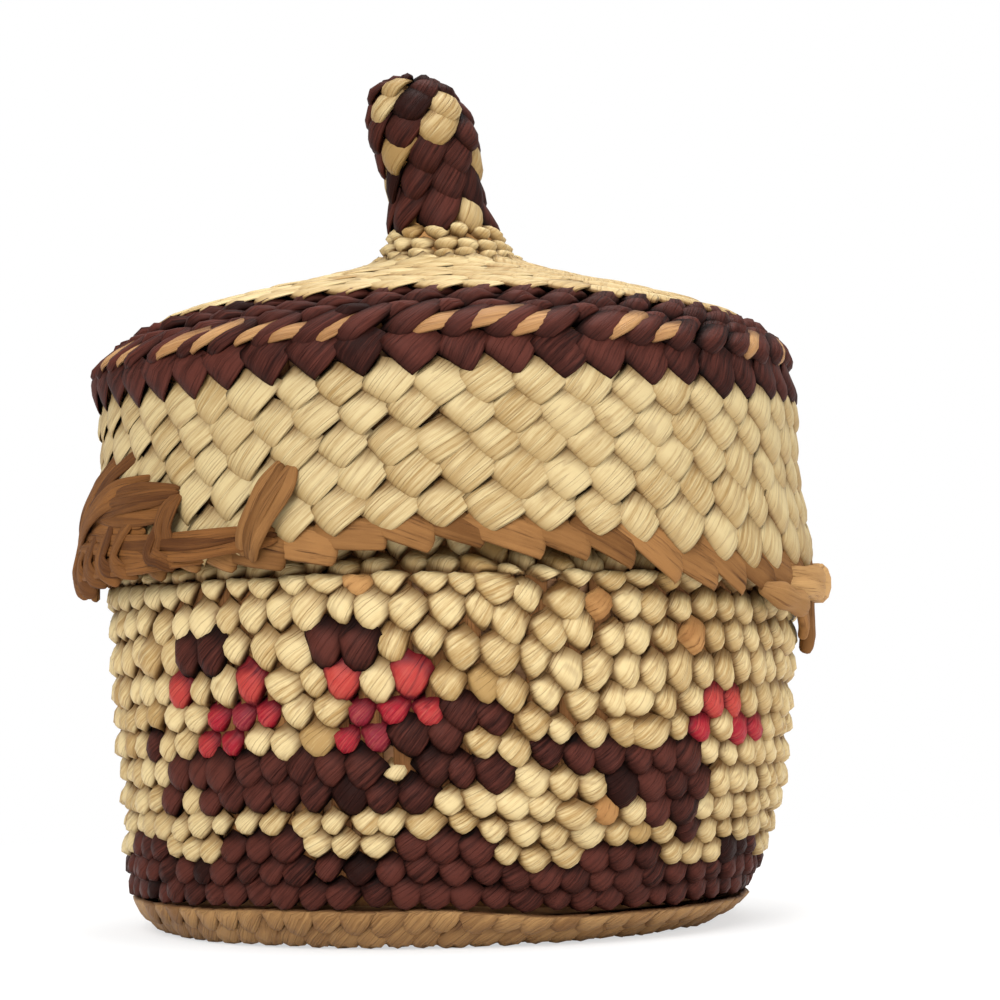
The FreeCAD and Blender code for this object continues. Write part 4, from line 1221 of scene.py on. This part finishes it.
# %% Band, lashing and loops on the left
band = [strip for line in (
    ([(-92, 28.4, 0.1), (-80, 28.2, 0.5), (-66, 27.8, 0.4), (-52, 27.4, 0.4), (-40, 27.2, 0.4),
      (-31, 27.1, 0.3), (-26, 27.0, -0.3)], 1.5 * mm, 0.35 * mm, 3),
    ([(-90, 29.6, -0.1), (-77, 29.9, 0.4), (-64, 30.2, 0.55), (-53, 30.5, 0.5), (-44.5, 30.7, 0.0)],
     1.6 * mm, 0.4 * mm, 3),
    ([(-91, 26.8, 0.0), (-76, 26.4, 0.55), (-60, 26.4, 0.45), (-48, 26.4, 0.3), (-38, 26.6, -0.2)],
     1.5 * mm, 0.3 * mm, 3),
    ([(-86, 28.9, 0.2), (-74, 28.6, 0.4), (-62, 28.9, 0.35), (-52, 28.7, 0.1)], 1.4 * mm,
     0.3 * mm, 2),
    ([(-52, 31.6, -0.3), (-62, 30.9, 0.6), (-71, 29.4, 0.8), (-80, 27.4, 0.6)], 1.6 * mm,
     0.3 * mm, 3),
    ([(-84, 30.4, 0.2), (-72, 30.3, 0.4), (-60, 29.6, 0.4), (-47, 29.3, 0.1)], 1.5 * mm,
     0.3 * mm, 3),
    ([(-44.8, 30.6, -0.2), (-45.6, 29.4, 0.5), (-46.2, 28.2, 0.6), (-45, 27.0, 0.2)], 1.2 * mm,
     0.3 * mm, 2),
    ([(-58, 33.6, -0.4), (-64, 32.4, 0.3), (-70, 30.6, 0.6), (-77, 28.6, 0.7)], 0.7 * mm,
     0.24 * mm, 1),
    ([(-66, 33.4, -0.3), (-75, 31.4, 0.5), (-83, 29.2, 0.7), (-89, 27.0, 0.6)], 1.5 * mm,
     0.26 * mm, 3),
    ([(-80, 32.4, -0.3), (-86, 30.8, 0.4), (-92, 29.0, 0.5)], 1.4 * mm, 0.26 * mm, 2))
    for strip in bundle(*line)]
strips_piece("bark_repair_band", "hem_repair_band", band, worn_bark)
lashing = bundle([(-24.4, 31.8, -0.35), (-25.8, 30.2, 0.4), (-27.4, 28.4, 0.75),
                  (-29.0, 26.9, 0.75), (-30.0, 25.8, -0.1)], 2.1 * mm, 0.5 * mm, 4)
strips_piece("bark_lashing", "hem_lashing", lashing, pale_bark)
loops = [strip for start, lean, low, width in (
    (-47, 1, 1.0, 1.0), (-57, 3, 0.7, 0.9), (-62, -2, 0.6, 1.3), (-68, 3, 0.4, 1.3),
    (-74, -3, 0.2, 1.6), (-80, 3, 0.1, 1.5), (-86, 1, 0.0, 1.8), (-92, -2, 0.0, 1.7),
    (-99, 3, 0.3, 1.3), (-107, 2, 0.6, 0.9))
    for strip in bundle([(start + lean, 30.6, -0.2), (start, 28.6, 0.4), (start - 1, 26.8, 0.7),
                         (start + 1, 25.4 + low, 0.7), (start + 4, 24.9 + low, 0.0)], width * mm,
                        0.3 * mm, 2)]
strips_piece("bark_frayed_loops", "frayed_bark_loops", loops, worn_bark)

# %% Knots and tail on the right
knots = [skirt_strip(*strip, ends=2.4) for strip in (
    ([(77, 24.8, -0.6), (82, 24.5, 0.1), (86, 24.3, 0.2), (90, 24.1, 0.1), (95, 24.0, -0.6)],
     2.7 * mm, 1.9 * mm),
    ([(54, 24.9, -0.6), (57, 24.5, 0.1), (61, 24.1, 0.2), (65, 23.8, 0.2), (69, 23.7, -0.5)],
     1.8 * mm, 1.5 * mm),
    ([(63, 25.1, -0.5), (68, 24.9, 0.2), (73, 24.6, 0.3), (78, 24.4, 0.1), (82, 24.4, -0.4)],
     1.7 * mm, 1.4 * mm),
    ([(64, 25.9, -0.5), (70, 25.5, 0.2), (76, 25.2, 0.3), (82, 25.1, -0.4)], 1.6 * mm,
     1.3 * mm))]
strips_piece("bark_knots", "hem_knots", knots, light_bark)
tail = [skirt_strip([(78, 24.4, -0.5), (78.5, 23.2, -0.6), (79, 21.8, -0.6), (79, 20.8, -0.6),
                     (80, 20.0, -0.9)], 1.9 * mm, 1.1 * mm),
        skirt_strip([(72, 24.4, -0.6), (74, 23.2, -0.7), (76, 21.9, -0.7), (77, 21.0, -0.9)],
                    1.4 * mm, 0.8 * mm)]
strips_piece("bark_tail", "hanging_bark_tail", tail, pale_bark)

# %% [markdown]
# ## Camera, light and floor
# The photograph was taken level, from about two hundred millimetres, with the basket turned a
# little. A long lens at that distance gives the same outline. Light is broad and soft, from the
# upper left front, and white paper lies under the basket and fills the background. A brighter
# lamp could whiten the paper too, but it would bleach the grass, so the paper is white to the
# camera only and keeps the basket's shadow near it.

# %% Camera
camera_distance = 212 * mm
camera_height = 19.5 * mm
camera_data = bpy.data.cameras.new("camera")
camera_data.lens = 104.6
camera_data.sensor_width = 36.0
camera_data.clip_start = 0.01
camera = bpy.data.objects.new("camera", camera_data)
bpy.context.scene.collection.objects.link(camera)
pan, tilt, roll = math.radians(-0.98), math.radians(90 + 2.96), math.radians(-1.0)
camera.matrix_world = (Matrix.Translation((0, -camera_distance, camera_height))
                       @ Matrix.Rotation(pan, 4, "Z") @ Matrix.Rotation(tilt, 4, "X")
                       @ Matrix.Rotation(roll, 4, "Z"))
bpy.context.scene.camera = camera
print("camera at %.0f mm, lens %.1f mm" % (camera_distance / mm, camera_data.lens))


# %% Lamps and world
def soft_lamp(name, place, size, power):
    """A square lamp that looks at the middle of the basket."""
    data = bpy.data.lights.new(name, "AREA")
    data.size = size
    data.energy = power
    lamp = bpy.data.objects.new(name, data)
    lamp.location = place
    lamp.rotation_euler = (Vector((0, 0, 0.03)) - Vector(place)).to_track_quat("-Z", "Y").to_euler()
    bpy.context.scene.collection.objects.link(lamp)


soft_lamp("key", (-0.18, -0.38, 0.32), 0.30, 2.3)
soft_lamp("fill", (0.42, -0.30, 0.14), 0.40, 1.6)
soft_lamp("top", (0.05, 0.05, 0.55), 0.40, 2.9)
room_strength = 0.55
room = Paint(bpy.data.worlds.new("white room"))
from_camera = room.node("ShaderNodeLightPath", output="Is Camera Ray")
through_glass = from_camera.sibling("Is Transmission Ray")
seen = room.node("ShaderNodeMath", {"operation": "MAXIMUM"}, {0: from_camera, 1: through_glass})
strength = room_strength + (1.0 - room_strength) * seen
white = room.node("ShaderNodeBackground", inputs={"Color": (1, 1, 1, 1), "Strength": strength})
room.node("ShaderNodeOutputWorld", inputs={"Surface": white})
bpy.context.scene.world = room.owner
bpy.context.scene.view_settings.view_transform = "Standard"
print("lamps:", len(bpy.data.lights), "world strength:", room_strength)

# %% Floor
floor_size = 3.0
floor_mesh = bpy.data.meshes.new("floor")
corners = [(-1, -1, 0), (1, -1, 0), (1, 1, 0), (-1, 1, 0)]
floor_mesh.from_pydata([(x * floor_size, y * floor_size, -0.02 * mm) for x, y, z in corners], [],
                       [(0, 1, 2, 3)])
floor = bpy.data.objects.new("floor", floor_mesh)
bpy.context.scene.collection.objects.link(floor)
paper = new_paint("white paper")
rays = paper.node("ShaderNodeLightPath", output="Is Camera Ray")
place = paper.node("ShaderNodeTexCoord", output="Object")
distance = paper.node("ShaderNodeVectorMath", {"operation": "LENGTH"}, {0: place}, output="Value")
near = 0.6 + 0.4 * paper.step(distance, 0.03, 0.11)
lit = paper.node("ShaderNodeBsdfDiffuse", inputs={"Color": (0.9, 0.9, 0.9, 1.0)})
glow = paper.node("ShaderNodeEmission", inputs={"Color": (1, 1, 1, 1), "Strength": 1.0})
mixed = paper.node("ShaderNodeMixShader", inputs={0: rays * near, 1: lit, 2: glow})
paper.node("ShaderNodeOutputMaterial", inputs={"Surface": mixed})
floor_mesh.materials.append(paper.owner)
print("floor %.0f m wide" % (2 * floor_size))
